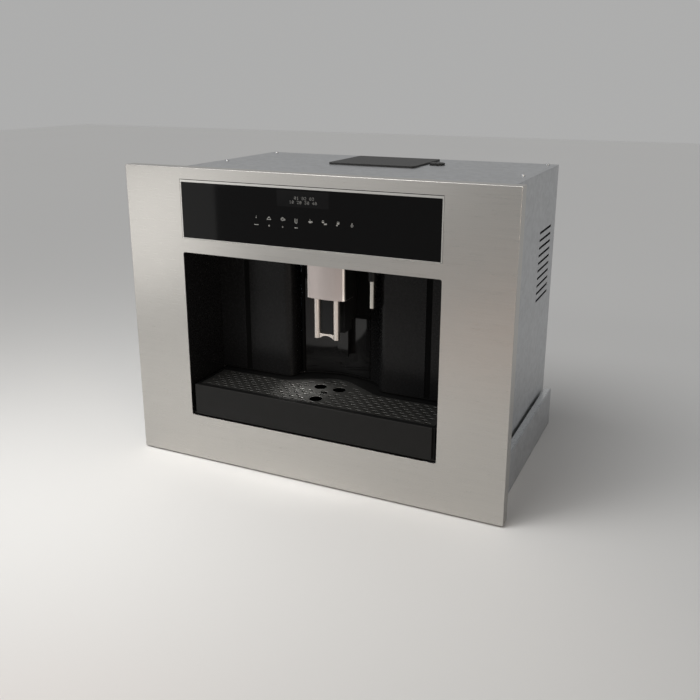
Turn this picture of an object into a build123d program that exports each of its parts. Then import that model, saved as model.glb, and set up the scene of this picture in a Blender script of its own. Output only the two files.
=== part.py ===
from build123d import *
import os
from math import sqrt

# Built-in coffee machine that hangs on a pull-out frame in a kitchen cabinet.
# Built in millimetres: X to the right, Y into the cabinet, Z up.
# While it is drawn, Y is 0 on the front of the fascia and Z is 0 on the cabinet shelf.
# The last step moves everything back so that the origin is the centre of the shelf screws.

# How far a cutter reaches past the face that it cuts
PAST = 1.0
# How near two worked-out places are when they are the same corner
SAME = 0.01

# ---- cabinet and pull-out frame
CABINET_W = 560.0
BRACKET_T = 2.0
BRACKET_FOOT = 36.0
BRACKET_H = 64.0
STRAP_W = 40.0
RAIL_T = 12.7
RAIL_H = 45.0
RAIL_L = 350.0
RAIL_Z = 40.0
RAIL_SHEET = 1.4
RAIL_GAP = 0.4
RAIL_STEP = 3.4
RAIL_SET = 3.5
OUTER_FLANGE = 9.5
MIDDLE_FLANGE = 8.3
SHELF_HOLE_R = 2.75
SHELF_SCREW_X = 440.0
SHELF_SCREW_Y = 280.0

# ---- fascia and control strip
FASCIA_W = 595.0
FASCIA_H = 455.0
FASCIA_D = 20.0
FASCIA_T = 1.5
FASCIA_EDGE_R = 1.0
FASCIA_LIFT = 2.0
OPENING_UP = 72.1
OPENING_R = 3.0
GLASS_W = 396.4
GLASS_H = 81.0
GLASS_DROP = 20.7
BAR_H = 21.2
GLASS_T = 4.0
GLASS_SINK = 0.3
BEZEL_SIDE = 2.0
BEZEL_TOP = 3.6
BEZEL_FOOT = 1.2
GROOVE = 0.4
GLASS_FIT = 0.2
HOUSING_D = 30.0
HOUSING_WALL = 4.0
DISPLAY_W = 84.0
DISPLAY_H = 24.0
DISPLAY_T = 11.0
DISPLAY_GAP = 0.5
BOARD_T = 1.6
BOARD_MARGIN = 4.0
BOSS_R = 3.0
BOSS_INSET = 12.0
KEY_COUNT = 8
KEY_PITCH = 21.0
KEY_UP = 38.0
KEY_R = 7.0
PLUG_X = -90.0
PLUG_W = 40.0
PLUG_T = 7.0
PLUG_H = 14.0
PLUG_UP = 10.0

# ---- casing
FRAME_T = 1.5
CASING_T = 1.2
CASING_Z = 8.0
CASING_DROP = 11.0
CASING_D = 358.5
FRAME_MARGIN = 3.0
VENT_W = 40.0
VENT_H = 4.0
VENT_PITCH = 12.0
VENT_ROWS = 10
VENT_COLUMN = 130.0
VENT_FROM_REAR = 30.0

# ---- cup niche
LINER_T = 2.5
WALL_T = 2.0
WALL_SET = 0.6
WALL_Y = 94.0
CEILING_RISE = 17.1
DECK_Z = 125.0
DECK_T = 2.0
ALCOVE_R = 118.0
ALCOVE_DEPTH = 137.0
JAMB_X = 70.5
JAMB_R = 15.0
GROOVE_X = 152.0
GROOVE_W = 9.0
GROOVE_D = 1.2
LIGHT_D = 12.0
LENS_R = 4.0
LENS_X = 60.0
LENS_SINK = 6.0
LENS_PROUD = 0.5
LIGHT_MARGIN = 6.0
LIGHT_GAP = 1.5

# ---- service door and spout
DOOR_T = 3.0
DOOR_EDGE_X = 45.0
DOOR_GAP = 1.0
STRIP_GAP = 1.5
HINGE_X = -65.0
HINGE_R = 3.2
PIN_R = 1.5
PIN_FIT = 0.05
PIN_IN_DOOR = 12.0
RUNNER_HEAD_W = 18.0
RUNNER_STEM_W = 10.0
RUNNER_HEAD_T = 4.0
RUNNER_Y = 126.0
RUNNER_UP = 32.0
RUNNER_TOP_GAP = 4.0
SLIDE_FIT = 0.35
HEAD_W = 62.0
HEAD_Y = 67.0
HEAD_D = 33.0
HEAD_DROP = 32.0
HEAD_H = 51.0
HEAD_R = 4.0
HEAD_BULGE = 4.0
COVER_T = 1.2
PIPE_X = 16.0
PIPE_Y = 71.5
PIPE_R = 5.0
PIPE_BORE_R = 3.5
PIPE_DROP = 61.5
PIPE_IN_HEAD = 30.0
BRIDGE_H = 7.0
BRIDGE_T = 4.0
ARCH_RISE = 4.3
BODY_W = 44.0
BODY_Y = 86.0
NECK_W = 40.0
NECK_END_Y = 134.0
NECK_CUT = 13.0
PLATE_SET = 1.0
NOZZLE_X = 67.0
NOZZLE_Y = 86.0
NOZZLE_R = 4.5
NOZZLE_BORE_R = 2.5
NOZZLE_L = 41.0
HOLDER_DROP = 52.0
HOLDER_H = 32.0
HOLDER_R = 7.0
HOLDER_INSET = 5.0
HOLDER_GAP = 0.5
PORT_SET = 4.0

# ---- drip tray
TRAY_GAP = 3.6
TRAY_Y = 5.0
TRAY_Z = 77.0
TRAY_H = 46.5
TRAY_WALL = 2.5
TRAY_RIM = 5.5
TRAY_FRONT_GAP = 7.3
TRAY_FRONT_T = 4.0
TRAY_FRONT_LIP = 1.5
TRAY_FRONT_R = 3.0
GRID_SIDE = 5.0
GRID_Y = 14.0
GRID_WALL_GAP = 14.0
NOSE_GAP = 20.5
GRID_T = 1.5
GRID_FIT = 0.3
GRID_SINK = 0.5
GRID_LEDGE = 3.0
NOSE_FOOT = 78.0
NOSE_TIP = 16.0
NOSE_FOOT_R = 25.0
NOSE_TIP_R = 45.0
SLOT_L = 9.0
SLOT_W = 3.4
SLOT_PITCH_X = 15.0
SLOT_PITCH_Y = 8.0
GRID_EDGE = 5.0
SLOT_CLEAR_X = 2.0
SLOT_CLEAR_Y = 3.0
DRAIN_SET = 8.0
DRAIN_R = 10.0
DRAIN_FRONT_Y = 33.0
FLOAT_Y = 60.0
FLOAT_HOLE_R = 5.4
FLOAT_STEM_R = 4.2
FLOAT_R = 15.0
FLOAT_H = 10.0
FLOAT_GAP = 0.3
BAY_T = 3.0
BAY_CHEEK = 2.0
BAY_PAST_TRAY = 8.0
BAY_SET = 0.5
BAY_LEG_X = 150.0
BAY_LEG_W = 20.0
BAY_LEG_IN = 20.0
GROUNDS_W = 120.0
GROUNDS_D = 99.0
GROUNDS_H = 41.0
GROUNDS_WALL = 2.0
GROUNDS_GAP = 3.0
PAN_GAP = 7.0

# ---- water tank
TANK_W = 114.0
TANK_D = 200.0
TANK_H = 110.0
TANK_Y = 105.0
TANK_WALL = 2.0
TANK_R = 8.0
TANK_GAP = 1.0
LID_T = 3.0
VALVE_R = 5.0
VALVE_L = 10.0
VALVE_Z = 150.0
VALVE_FIT = 0.35
VALVE_BORE_R = 3.0
SOCKET_R = 10.0
SOCKET_L = 22.0
SOCKET_GAP = 2.0
SOCKET_FOOT = 6.0
SOCKET_END = 4.0
BARB_R = 4.0
BARB_L = 8.0

# ---- bean hopper and grinder
GRINDER_Y = 290.0
GRINDER_R = 42.0
HOPPER_H = 74.0
GRINDER_H = 42.0
GRINDER_FLOOR = 4.0
CHAMBER_R = 30.0
BURR_R = 24.0
BURR_UP = 20.0
BURR_H = 8.0
BURR_GAP = 0.6
UPPER_BURR_H = 6.0
UPPER_BURR_BORE = 13.0
SHAFT_R = 4.0
SHAFT_FIT = 0.05
SHAFT_BELOW = 30.0
MOTOR_R = 30.0
MOTOR_H = 94.0
MOTOR_BEVEL = 3.0
STAY_W = 16.0
STAY_DROP = 40.0
STAY_H = 30.0
STAY_IN = 4.0
CHUTE_W = 28.0
CHUTE_WALL = 2.0
CHUTE_END_Y = 215.0
CHUTE_END_Z = 222.0
CHUTE_END_D = 16.0
CHUTE_ROOF = 18.0
CHUTE_REACH = 14.0
CHUTE_ROOT = 8.0
CHUTE_MOUTH = 4.0
BURR_TEETH = 12
TOOTH_L = 14.0
TOOTH_W = 1.5
TOOTH_H = 2.0
CONE_R = 10.0
CONE_H = 8.0
CONE_TAPER = 30.0
HOPPER_W = 140.0
HOPPER_D = 120.0
HOPPER_WALL = 2.0
HOPPER_NECK_H = 22.0
HOPPER_NECK_R = 28.0
LID_MARGIN = 4.0
LID_R = 6.0
KNOB_X = 90.0
KNOB_R = 12.0
KNOB_T = 3.0
KNOB_SHAFT_R = 3.0
KNOB_GAP = 0.3
KNOB_SLOT_W = 2.0
KNOB_SLOT_H = 1.0
KNOB_SLOT_IN = 4.0
KNOB_SEAT = 2.0
EAR_H = 12.0
EAR_W = 20.0
EAR_ROOT = 6.0

# ---- brew unit
BREW_Y = 185.0
BREW_CHAMBER_R = 28.0
BREW_BORE_R = 23.0
BREW_CHAMBER_H = 55.0
BREW_CHAMBER_Z = 150.0
BREW_FLOOR = 8.0
BREW_FRAME_D = 50.0
BREW_PLATE_T = 4.0
BREW_LEFT_X = -45.0
BREW_RIGHT_X = 62.0
BREW_TOP_Z = 262.0
BREW_BRIDGE_T = 6.0
PISTON_FIT = 0.35
PISTON_L = 37.0
PISTON_H = 14.0
PISTON_STEM_R = 12.0
PORT_R = 3.0
PORT_L = 6.0
SCREW_X = 45.0
SCREW_R = 4.0
NUT_FIT = 0.3
NUT_W = 18.0
NUT_H = 30.0
NUT_UP = 10.0
NUT_ROOT = 4.0
SCREW_SEAT = 2.0
SCREW_GAP = 0.3
SCREW_PAST = 10.0
BREW_MOTOR_W = 36.0
BREW_MOTOR_H = 42.0
BREW_GEAR_H = 16.0
BREW_CAN_SET = 2.0
CHUTE_HOLE_W = 70.0
CHUTE_HOLE_D = 30.0

# ---- water circuit
HEATER_X = 150.0
HEATER_W = 70.0
HEATER_Y = 275.0
HEATER_D = 80.0
HEATER_H = 60.0
HEATER_FOOT = 18.0
HEATER_FINS = 9
FIN_GAP = 3.0
FIN_H = 10.0
HEATER_LEG_IN = 8.0
HEATER_LEG_R = 5.0
HEATER_PORT_UP = 36.0
FEED_PORT_IN = 15.0
BREW_PORT_BACK = 25.0
HOT_PORT_BACK = 55.0
PUMP_X = 225.0
PUMP_Y = 120.0
PUMP_L = 110.0
PUMP_Z = 165.0
PUMP_R = 10.0
COIL_W = 40.0
COIL_L = 45.0
MOUNT_IN = 12.0
MOUNT_W = 28.0
MOUNT_T = 10.0
METER_X = 140.0
METER_Y = 130.0
METER_R = 16.0
METER_H = 18.0
METER_STEM_R = 6.0
HOSE_R = 3.5
HOSE_BORE_R = 2.0
HOSE_BEND = 12.0
HOSE_END_GAP = 0.25
HOSE_RUN = 18.0
SUCTION_X = 90.0
SUCTION_BACK = 58.0
FEED_X = 190.0
FEED_Y = 101.5
FEED_RISE = 6.0
BREW_HOSE_X = 98.0
BREW_HOSE_Z = 290.0
BREW_HOSE_FRONT = 32.0
BREW_HOSE_RISE = 16.0
HOT_HOSE_X = 118.0
PCB_W = 180.0
PCB_D = 90.0
PCB_Z = 24.0
PCB_FROM_REAR = 15.0
PCB_POST_IN = 8.0
PCB_POST_R = 4.0
COIL_BLOCK = (10.0, 20.0, 45.0, 40.0, 34.0)
RELAYS = ((70.0, 15.0, 18.0, 30.0, 16.0), (94.0, 15.0, 18.0, 30.0, 16.0))
CAPACITOR_X = 130.0
CAPACITOR_Y = 30.0
CAPACITOR_R = 9.0
CAPACITOR_H = 30.0
HEAT_SINK = (150.0, 10.0, 22.0, 70.0, 25.0)

# ---- rear connections
INLET_X = -205.0
INLET_Z = 60.0
INLET_W = 90.0
INLET_H = 32.0
INLET_FLANGE = 3.0
INLET_DEPTH = 22.0
SOCKET_W = 27.0
SOCKET_H = 19.5
SWITCH_OFFSET = 27.0
SOCKET_OFFSET = 19.0
INLET_FLOOR = 3.0
CONTACTS = ((-7.0, -2.0), (7.0, -2.0), (0.0, 3.0))
CONTACT_W = 2.0
CONTACT_H = 4.0
CONTACT_SINK = 2.0
ROCKER_W = 20.0
ROCKER_H = 24.0
ROCKER_GAP = 0.8
ROCKER_PIN_R = 1.5
ROCKER_PIVOT = 2.0
ROCKER_TILT = 3.2
ROCKER_FLUSH = 1.0
ROCKER_BELLY = 3.0
ROCKER_WAIST = 7.0
SCREW_HEAD_R = 3.5
SCREW_HEAD_H = 2.0
SCREW_SHANK_R = 1.75
SCREW_SHANK_L = 8.0
SCREW_INSET = 14.0
SCREW_JOIN = 0.5

# ---- places worked out from the sizes above
FRAME_Y = FASCIA_D
CASING_Y = FRAME_Y + FRAME_T
REAR_Y = CASING_Y + CASING_D
FASCIA_TOP = FASCIA_LIFT + FASCIA_H
CASING_TOP = FASCIA_TOP - CASING_DROP
CASING_W = CABINET_W - 2 * (BRACKET_T + RAIL_T)
SIDE_X = CASING_W / 2
INNER_X = SIDE_X - CASING_T
RAIL_Y = CASING_Y + RAIL_SET
SHELF_Y = RAIL_Y + RAIL_L / 2
OPENING_W = GLASS_W + 2 * (BEZEL_SIDE + GROOVE)
NICHE_X = OPENING_W / 2 + WALL_SET
GLASS_TOP = FASCIA_TOP - GLASS_DROP
GLASS_Z = GLASS_TOP - GLASS_H
GLASS_BACK = GLASS_SINK + GLASS_T
BEZEL_X = GLASS_W / 2 + BEZEL_SIDE
BEZEL_Z = GLASS_Z - BEZEL_FOOT
BEZEL_TOP_Z = GLASS_TOP + BEZEL_TOP
OPENING_Z = FASCIA_LIFT + OPENING_UP
OPENING_TOP = BEZEL_Z - BAR_H
CEILING_Z = OPENING_TOP + CEILING_RISE
HOUSING_BACK = GLASS_BACK + HOUSING_D
ALCOVE_Y = ALCOVE_DEPTH - ALCOVE_R
DECK_TOP = DECK_Z + DECK_T
JAMB_BACK = ALCOVE_Y + sqrt(ALCOVE_R**2 - JAMB_X**2)
PORT_Y = JAMB_BACK - PORT_SET
HINGE_Y = ALCOVE_Y + sqrt((ALCOVE_R + DOOR_T / 2) ** 2 - HINGE_X**2)
JAMB_END = HINGE_Y + HINGE_R
DOOR_Z = DECK_TOP + DOOR_GAP
DOOR_TOP = CEILING_Z - DOOR_GAP
HEAD_TOP = CEILING_Z - HEAD_DROP
HEAD_Z = HEAD_TOP - HEAD_H
PIPE_Z = HEAD_Z - PIPE_DROP
HOLDER_Z = CEILING_Z - HOLDER_DROP
NOZZLE_Z = HOLDER_Z - NOZZLE_L
HEAD_BACK = HEAD_Y + HEAD_D
TRAY_TOP = TRAY_Z + TRAY_H
GRID_Z = TRAY_TOP - GRID_SINK - GRID_T
TRAY_FLOOR = TRAY_Z + TRAY_WALL
TRAY_FRONT_W = OPENING_W - 2 * TRAY_FRONT_GAP
TRAY_W = OPENING_W - 2 * TRAY_GAP
GRID_W = TRAY_W - 2 * GRID_SIDE
GRID_BACK = WALL_Y - GRID_WALL_GAP
GRID_NOSE = ALCOVE_DEPTH - NOSE_GAP
PAN_BACK = ALCOVE_DEPTH + TRAY_WALL
GROUNDS_Y = PAN_BACK + PAN_GAP + GROUNDS_GAP
TRAY_BACK = GROUNDS_Y + GROUNDS_D + GROUNDS_GAP + TRAY_WALL
BAY_BACK = TRAY_BACK + BAY_PAST_TRAY
TANK_X = -INNER_X + TANK_GAP
TANK_RIGHT = TANK_X + TANK_W
TANK_Z = DECK_TOP
TANK_TOP = TANK_Z + TANK_H
TANK_MID_Y = TANK_Y + TANK_D / 2
TANK_LID_X = TANK_RIGHT - LID_T / 2
TANK_LID_Z = TANK_TOP + LID_T / 2
GRINDER_TOP = CASING_TOP - HOPPER_H
GRINDER_Z = GRINDER_TOP - GRINDER_H
STAY_Z = GRINDER_Z - STAY_DROP
BURR_Z = GRINDER_Z + BURR_UP
HOPPER_Z = GRINDER_TOP + HOPPER_NECK_H
HOPPER_LID_Y = GRINDER_Y + HOPPER_D / 2 + LID_MARGIN - LID_T / 2
HOPPER_LID_Z = CASING_TOP + LID_T / 2
BREW_CHAMBER_TOP = BREW_CHAMBER_Z + BREW_CHAMBER_H
BREW_BRIDGE_TOP = BREW_TOP_Z + BREW_BRIDGE_T
HEATER_Z = DECK_TOP + HEATER_FOOT
HEATER_TOP = HEATER_Z + HEATER_H
HEATER_PORT_Z = HEATER_Z + HEATER_PORT_UP
BREW_PORT_Y = HEATER_Y + BREW_PORT_BACK
HOT_PORT_Y = HEATER_Y + HOT_PORT_BACK
FEED_PORT_X = HEATER_X + HEATER_W - FEED_PORT_IN


def box(x0, x1, y0, y1, z0, z1):
    """A block between two corners."""
    size = Box(x1 - x0, y1 - y0, z1 - z0)
    return Pos((x0 + x1) / 2, (y0 + y1) / 2, (z0 + z1) / 2) * size


def rod_z(x, y, z0, z1, r):
    """An upright cylinder."""
    return Pos(x, y, (z0 + z1) / 2) * Cylinder(r, z1 - z0)


def rod_y(x, z, y0, y1, r):
    """A cylinder that runs front to back."""
    return Pos(x, (y0 + y1) / 2, z) * Rot(90, 0, 0) * Cylinder(r, y1 - y0)


def rod_x(y, z, x0, x1, r):
    """A cylinder that runs left to right."""
    return Pos((x0 + x1) / 2, y, z) * Rot(0, 90, 0) * Cylinder(r, x1 - x0)


def slab(face, z0, z1):
    """A flat face drawn in plan, given its height."""
    return extrude(Pos(0, 0, z0) * face, z1 - z0)


def window(x0, x1, z0, z1, r, y0, y1):
    """A block with rounded upright corners, used as a cutter in a front panel."""
    block = box(x0, x1, y0, y1, z0, z1)
    return fillet(block.edges().filter_by(Axis.Y), r)


def mirrored(shape):
    """The same piece on the other side of the machine."""
    return mirror(shape, about=Plane.YZ)


def alcove_y(x, radius=ALCOVE_R):
    """Where the round back of the niche lies at a distance x from the middle."""
    return ALCOVE_Y + sqrt(radius**2 - x**2)


# ---------------------------------------------------------------- pull-out frame
def runner_frame():
    side = CABINET_W / 2
    rail_back = RAIL_Y + RAIL_L
    frame = box(side - BRACKET_T, side, RAIL_Y, rail_back, 0, BRACKET_H)
    frame += box(side - BRACKET_FOOT, side, RAIL_Y, rail_back, 0, BRACKET_T)
    frame += mirrored(frame)
    holes_y = (SHELF_Y - SHELF_SCREW_Y / 2, SHELF_Y + SHELF_SCREW_Y / 2)
    for y in holes_y:
        frame += box(-side, side, y - STRAP_W / 2, y + STRAP_W / 2, 0, BRACKET_T)
    for y in holes_y:
        for x in (-SHELF_SCREW_X / 2, SHELF_SCREW_X / 2):
            frame -= rod_z(x, y, -PAST, BRACKET_T + PAST, SHELF_HOLE_R)
    return frame


def channel(depth, half_h, flange, inward):
    """A rail of channel section for the right side, its web depth in from the bracket."""
    outer = CABINET_W / 2 - BRACKET_T - depth
    web = outer - RAIL_SHEET
    tip = outer - flange if inward else web + flange
    low, high = min(tip, web), max(tip, outer)
    solid = box(low, high, RAIL_Y, RAIL_Y + RAIL_L, RAIL_Z - half_h, RAIL_Z + half_h)
    x0, x1 = (low - PAST, web) if inward else (outer, high + PAST)
    inside = half_h - RAIL_SHEET
    solid -= box(x0, x1, RAIL_Y - PAST, RAIL_Y + RAIL_L + PAST, RAIL_Z - inside, RAIL_Z + inside)
    return solid


def outer_rails():
    rail = channel(0, RAIL_H / 2, OUTER_FLANGE, True)
    return [rail, mirrored(rail)]


def middle_rails():
    half = RAIL_H / 2 - RAIL_SHEET - RAIL_STEP
    rail = channel(RAIL_SHEET + RAIL_GAP, half, MIDDLE_FLANGE, True)
    return [rail, mirrored(rail)]


def inner_rails():
    half = RAIL_H / 2 - 2 * (RAIL_SHEET + RAIL_STEP)
    flange = RAIL_T - 2 * (RAIL_SHEET + RAIL_GAP)
    rail = channel(RAIL_T - RAIL_SHEET, half, flange, False)
    return [rail, mirrored(rail)]


# ---------------------------------------------------------------- fascia
def fascia_panel():
    half = FASCIA_W / 2
    shell = box(-half, half, 0, FASCIA_D, FASCIA_LIFT, FASCIA_TOP)
    shell = fillet(shell.faces().sort_by(Axis.Y)[0].edges(), FASCIA_EDGE_R)
    shell -= box(-half + FASCIA_T, half - FASCIA_T, FASCIA_T, FASCIA_D + PAST,
                 FASCIA_LIFT + FASCIA_T, FASCIA_TOP - FASCIA_T)
    shell -= window(-OPENING_W / 2, OPENING_W / 2, OPENING_Z, OPENING_TOP, OPENING_R, -PAST, FASCIA_D)
    shell -= box(-BEZEL_X - GROOVE, BEZEL_X + GROOVE, -PAST, FASCIA_D,
                 BEZEL_Z - GROOVE, BEZEL_TOP_Z + GROOVE)
    return shell


def glass_bezel():
    ring = box(-BEZEL_X, BEZEL_X, 0, GLASS_BACK, BEZEL_Z, BEZEL_TOP_Z)
    half = GLASS_W / 2 + GLASS_FIT
    return ring - box(-half, half, -PAST, GLASS_BACK + PAST, GLASS_Z - GLASS_FIT, GLASS_TOP + GLASS_FIT)


def control_glass():
    return box(-GLASS_W / 2, GLASS_W / 2, GLASS_SINK, GLASS_BACK, GLASS_Z, GLASS_TOP)


def control_housing():
    shell = box(-BEZEL_X, BEZEL_X, GLASS_BACK, HOUSING_BACK, BEZEL_Z, BEZEL_TOP_Z)
    inner_x = BEZEL_X - HOUSING_WALL
    low = BEZEL_Z + HOUSING_WALL
    high = BEZEL_TOP_Z - HOUSING_WALL - BEZEL_TOP
    floor_y = HOUSING_BACK - HOUSING_WALL / 2
    shell -= box(-inner_x, inner_x, GLASS_BACK - PAST, floor_y, low, high)
    board_back = GLASS_BACK + DISPLAY_T + BOARD_T
    for x in (-inner_x + BOSS_INSET, inner_x - BOSS_INSET):
        for z in (low + BOSS_INSET, high - BOSS_INSET):
            shell += rod_y(x, z, board_back, floor_y, BOSS_R)
    return shell


def control_board():
    half = BEZEL_X - HOUSING_WALL - BOARD_MARGIN
    front = GLASS_BACK + DISPLAY_T
    low = BEZEL_Z + HOUSING_WALL + BOARD_MARGIN
    high = BEZEL_TOP_Z - HOUSING_WALL - BEZEL_TOP - BOARD_MARGIN
    board = box(-half, half, front, front + BOARD_T, low, high)
    for n in range(KEY_COUNT):
        x = (n - (KEY_COUNT - 1) / 2) * KEY_PITCH
        board += rod_y(x, GLASS_Z + KEY_UP, GLASS_BACK, front, KEY_R)
    rear = front + BOARD_T
    plug_z = low + PLUG_UP
    return board + box(PLUG_X, PLUG_X + PLUG_W, rear, rear + PLUG_T, plug_z, plug_z + PLUG_H)


def display_module():
    half = DISPLAY_W / 2
    high = BEZEL_TOP_Z - HOUSING_WALL - BEZEL_TOP - DISPLAY_GAP
    return box(-half, half, GLASS_BACK, GLASS_BACK + DISPLAY_T, high - DISPLAY_H, high)


# ---------------------------------------------------------------- casing
def front_frame():
    half = FASCIA_W / 2 - FRAME_MARGIN
    plate = box(-half, half, FRAME_Y, CASING_Y, FASCIA_LIFT + FRAME_MARGIN, FASCIA_TOP - FRAME_MARGIN)
    side = NICHE_X + WALL_T
    plate -= box(-side, side, FRAME_Y - PAST, CASING_Y + PAST, OPENING_Z - WALL_T, BEZEL_Z)
    return plate - box(-BEZEL_X, BEZEL_X, FRAME_Y - PAST, CASING_Y + PAST, BEZEL_Z - PAST, BEZEL_TOP_Z)


def base_plate():
    return box(-SIDE_X, SIDE_X, CASING_Y, REAR_Y, CASING_Z, CASING_Z + CASING_T)


def side_panel(has_tank_door):
    low, high = CASING_Z + CASING_T, CASING_TOP - CASING_T
    sheet = box(INNER_X, SIDE_X, CASING_Y, REAR_Y - CASING_T, low, high)
    if has_tank_door:
        return sheet - box(INNER_X - PAST, SIDE_X + PAST, TANK_Y - TANK_GAP, TANK_Y + TANK_D + TANK_GAP,
                           DECK_TOP - DECK_T, TANK_TOP + LID_T + TANK_GAP)
    vent_y = REAR_Y - VENT_FROM_REAR
    for n in range(VENT_ROWS):
        z = CEILING_Z - n * VENT_PITCH
        sheet -= box(INNER_X - PAST, SIDE_X + PAST, vent_y - 2 * VENT_W, vent_y, z, z + VENT_H)
    return sheet


def rear_screw_places():
    """Where the rear panel is screwed on, as X and Z."""
    columns = (-INNER_X + SCREW_INSET, -INNER_X / 3, INNER_X / 3, INNER_X - SCREW_INSET)
    return [(x, z) for x in columns for z in (CASING_Z + SCREW_INSET, CASING_TOP - SCREW_INSET)]


def top_screw_places():
    """Where the top cover is screwed on, as X and Y."""
    rows = (CASING_Y + SCREW_INSET, (CASING_Y + REAR_Y) / 2, REAR_Y - SCREW_INSET)
    return [(x, y) for x in (-INNER_X + SCREW_INSET, INNER_X - SCREW_INSET) for y in rows]


def rear_panel():
    sheet = box(-SIDE_X, SIDE_X, REAR_Y - CASING_T, REAR_Y, CASING_Z + CASING_T, CASING_TOP - CASING_T)
    for n in range(VENT_ROWS):
        z = CEILING_Z - n * VENT_PITCH
        for x in (-VENT_COLUMN, 0, VENT_COLUMN):
            sheet -= box(x - VENT_W, x + VENT_W, REAR_Y - CASING_T - PAST, REAR_Y + PAST, z, z + VENT_H)
    for x, z in rear_screw_places():
        sheet -= rod_y(x, z, REAR_Y - CASING_T - PAST, REAR_Y + PAST, SCREW_SHANK_R + PIN_FIT)
    half_w, half_h = INLET_W / 2 - INLET_FLANGE, INLET_H / 2 - INLET_FLANGE
    sheet -= box(INLET_X - half_w, INLET_X + half_w, REAR_Y - CASING_T - PAST, REAR_Y + PAST,
                 INLET_Z - half_h, INLET_Z + half_h)
    return sheet


def top_cover():
    sheet = box(-SIDE_X, SIDE_X, CASING_Y, REAR_Y, CASING_TOP - CASING_T, CASING_TOP)
    sheet -= box(-HOPPER_W / 2, HOPPER_W / 2, GRINDER_Y - HOPPER_D / 2, GRINDER_Y + HOPPER_D / 2,
                 CASING_TOP - CASING_T - PAST, CASING_TOP + PAST)
    for x, y in top_screw_places():
        sheet -= rod_z(x, y, CASING_TOP - CASING_T - PAST, CASING_TOP + PAST, SCREW_SHANK_R + PIN_FIT)
    return sheet - rod_z(KNOB_X, GRINDER_Y, CASING_TOP - CASING_T - PAST, CASING_TOP + PAST,
                         KNOB_SHAFT_R + SHAFT_FIT)


def casing_screws():
    screws = []
    for x, z in rear_screw_places():
        screw = rod_y(x, z, REAR_Y, REAR_Y + SCREW_HEAD_H, SCREW_HEAD_R)
        screws.append(screw + rod_y(x, z, REAR_Y - SCREW_SHANK_L, REAR_Y + SCREW_JOIN, SCREW_SHANK_R))
    for x, y in top_screw_places():
        screw = rod_z(x, y, CASING_TOP, CASING_TOP + SCREW_HEAD_H, SCREW_HEAD_R)
        screws.append(screw + rod_z(x, y, CASING_TOP - SCREW_SHANK_L, CASING_TOP + SCREW_JOIN, SCREW_SHANK_R))
    return screws


# ---------------------------------------------------------------- niche
def niche_plan():
    """The air of the niche seen from above: a straight part and a round alcove."""
    end_y = alcove_y(JAMB_X)
    corner = JAMB_X + JAMB_R
    turn = JAMB_R * (1 - sqrt(0.5))
    lines = [
        Polyline((-JAMB_X, end_y), (-JAMB_X, WALL_Y + JAMB_R)),
        ThreePointArc((-JAMB_X, WALL_Y + JAMB_R), (-JAMB_X - turn, WALL_Y + turn), (-corner, WALL_Y)),
        Polyline((-corner, WALL_Y), (-NICHE_X, WALL_Y), (-NICHE_X, FASCIA_T),
                 (NICHE_X, FASCIA_T), (NICHE_X, WALL_Y), (corner, WALL_Y)),
        ThreePointArc((corner, WALL_Y), (JAMB_X + turn, WALL_Y + turn), (JAMB_X, WALL_Y + JAMB_R)),
        Polyline((JAMB_X, WALL_Y + JAMB_R), (JAMB_X, end_y)),
        ThreePointArc((JAMB_X, end_y), (0, ALCOVE_DEPTH), (-JAMB_X, end_y)),
    ]
    return make_face(Curve() + lines)


def wall_liner():
    z0 = OPENING_Z - WALL_T
    return box(NICHE_X, NICHE_X + WALL_T, FASCIA_T, WALL_Y, z0, CEILING_Z + WALL_T)


def niche_ceiling():
    side = JAMB_X + LINER_T
    back = ALCOVE_DEPTH + DOOR_T + LINER_T
    plate = box(-NICHE_X, NICHE_X, FASCIA_T, WALL_Y + LINER_T, CEILING_Z, CEILING_Z + WALL_T)
    plate += box(-side, side, WALL_Y, back, CEILING_Z, CEILING_Z + WALL_T)
    plate += box(-side - JAMB_R, side + JAMB_R, WALL_Y, JAMB_END, CEILING_Z, CEILING_Z + WALL_T)
    return plate - rod_z(HINGE_X, HINGE_Y, CEILING_Z - PAST, CEILING_Z + WALL_T + PAST, PIN_R + PIN_FIT)


def jamb_profile(with_strip):
    """Plan of the right rear wall: flat, round jamb, and the strip beside the door."""
    corner = JAMB_X + JAMB_R
    turn = JAMB_R * (1 - sqrt(0.5))
    far = NICHE_X + WALL_T
    back = JAMB_R - LINER_T
    back_turn = LINER_T + back * (1 - sqrt(0.5))
    back_y = WALL_Y + LINER_T
    inner = JAMB_X + LINER_T
    front = [
        Polyline((far, WALL_Y), (corner, WALL_Y)),
        ThreePointArc((corner, WALL_Y), (JAMB_X + turn, WALL_Y + turn), (JAMB_X, WALL_Y + JAMB_R)),
    ]
    rear = [
        ThreePointArc((inner, WALL_Y + JAMB_R), (JAMB_X + back_turn, WALL_Y + back_turn), (corner, back_y)),
        Polyline((corner, back_y), (far, back_y), (far, WALL_Y)),
    ]
    if not with_strip:
        tip = [Polyline((JAMB_X, WALL_Y + JAMB_R), (JAMB_X, JAMB_END), (inner, JAMB_END),
                        (inner, WALL_Y + JAMB_R))]
        return make_face(Curve() + front + tip + rear)
    edge = DOOR_EDGE_X + STRIP_GAP
    mid = (edge + JAMB_X) / 2
    outer = ALCOVE_R + LINER_T
    strip = [
        Polyline((JAMB_X, WALL_Y + JAMB_R), (JAMB_X, alcove_y(JAMB_X))),
        ThreePointArc((JAMB_X, alcove_y(JAMB_X)), (mid, alcove_y(mid)), (edge, alcove_y(edge))),
        Polyline((edge, alcove_y(edge)), (edge, alcove_y(edge, outer))),
        ThreePointArc((edge, alcove_y(edge, outer)), (mid, alcove_y(mid, outer)),
                      (inner, alcove_y(inner, outer))),
        Polyline((inner, alcove_y(inner, outer)), (inner, WALL_Y + JAMB_R)),
    ]
    return make_face(Curve() + front + strip + rear)


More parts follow.
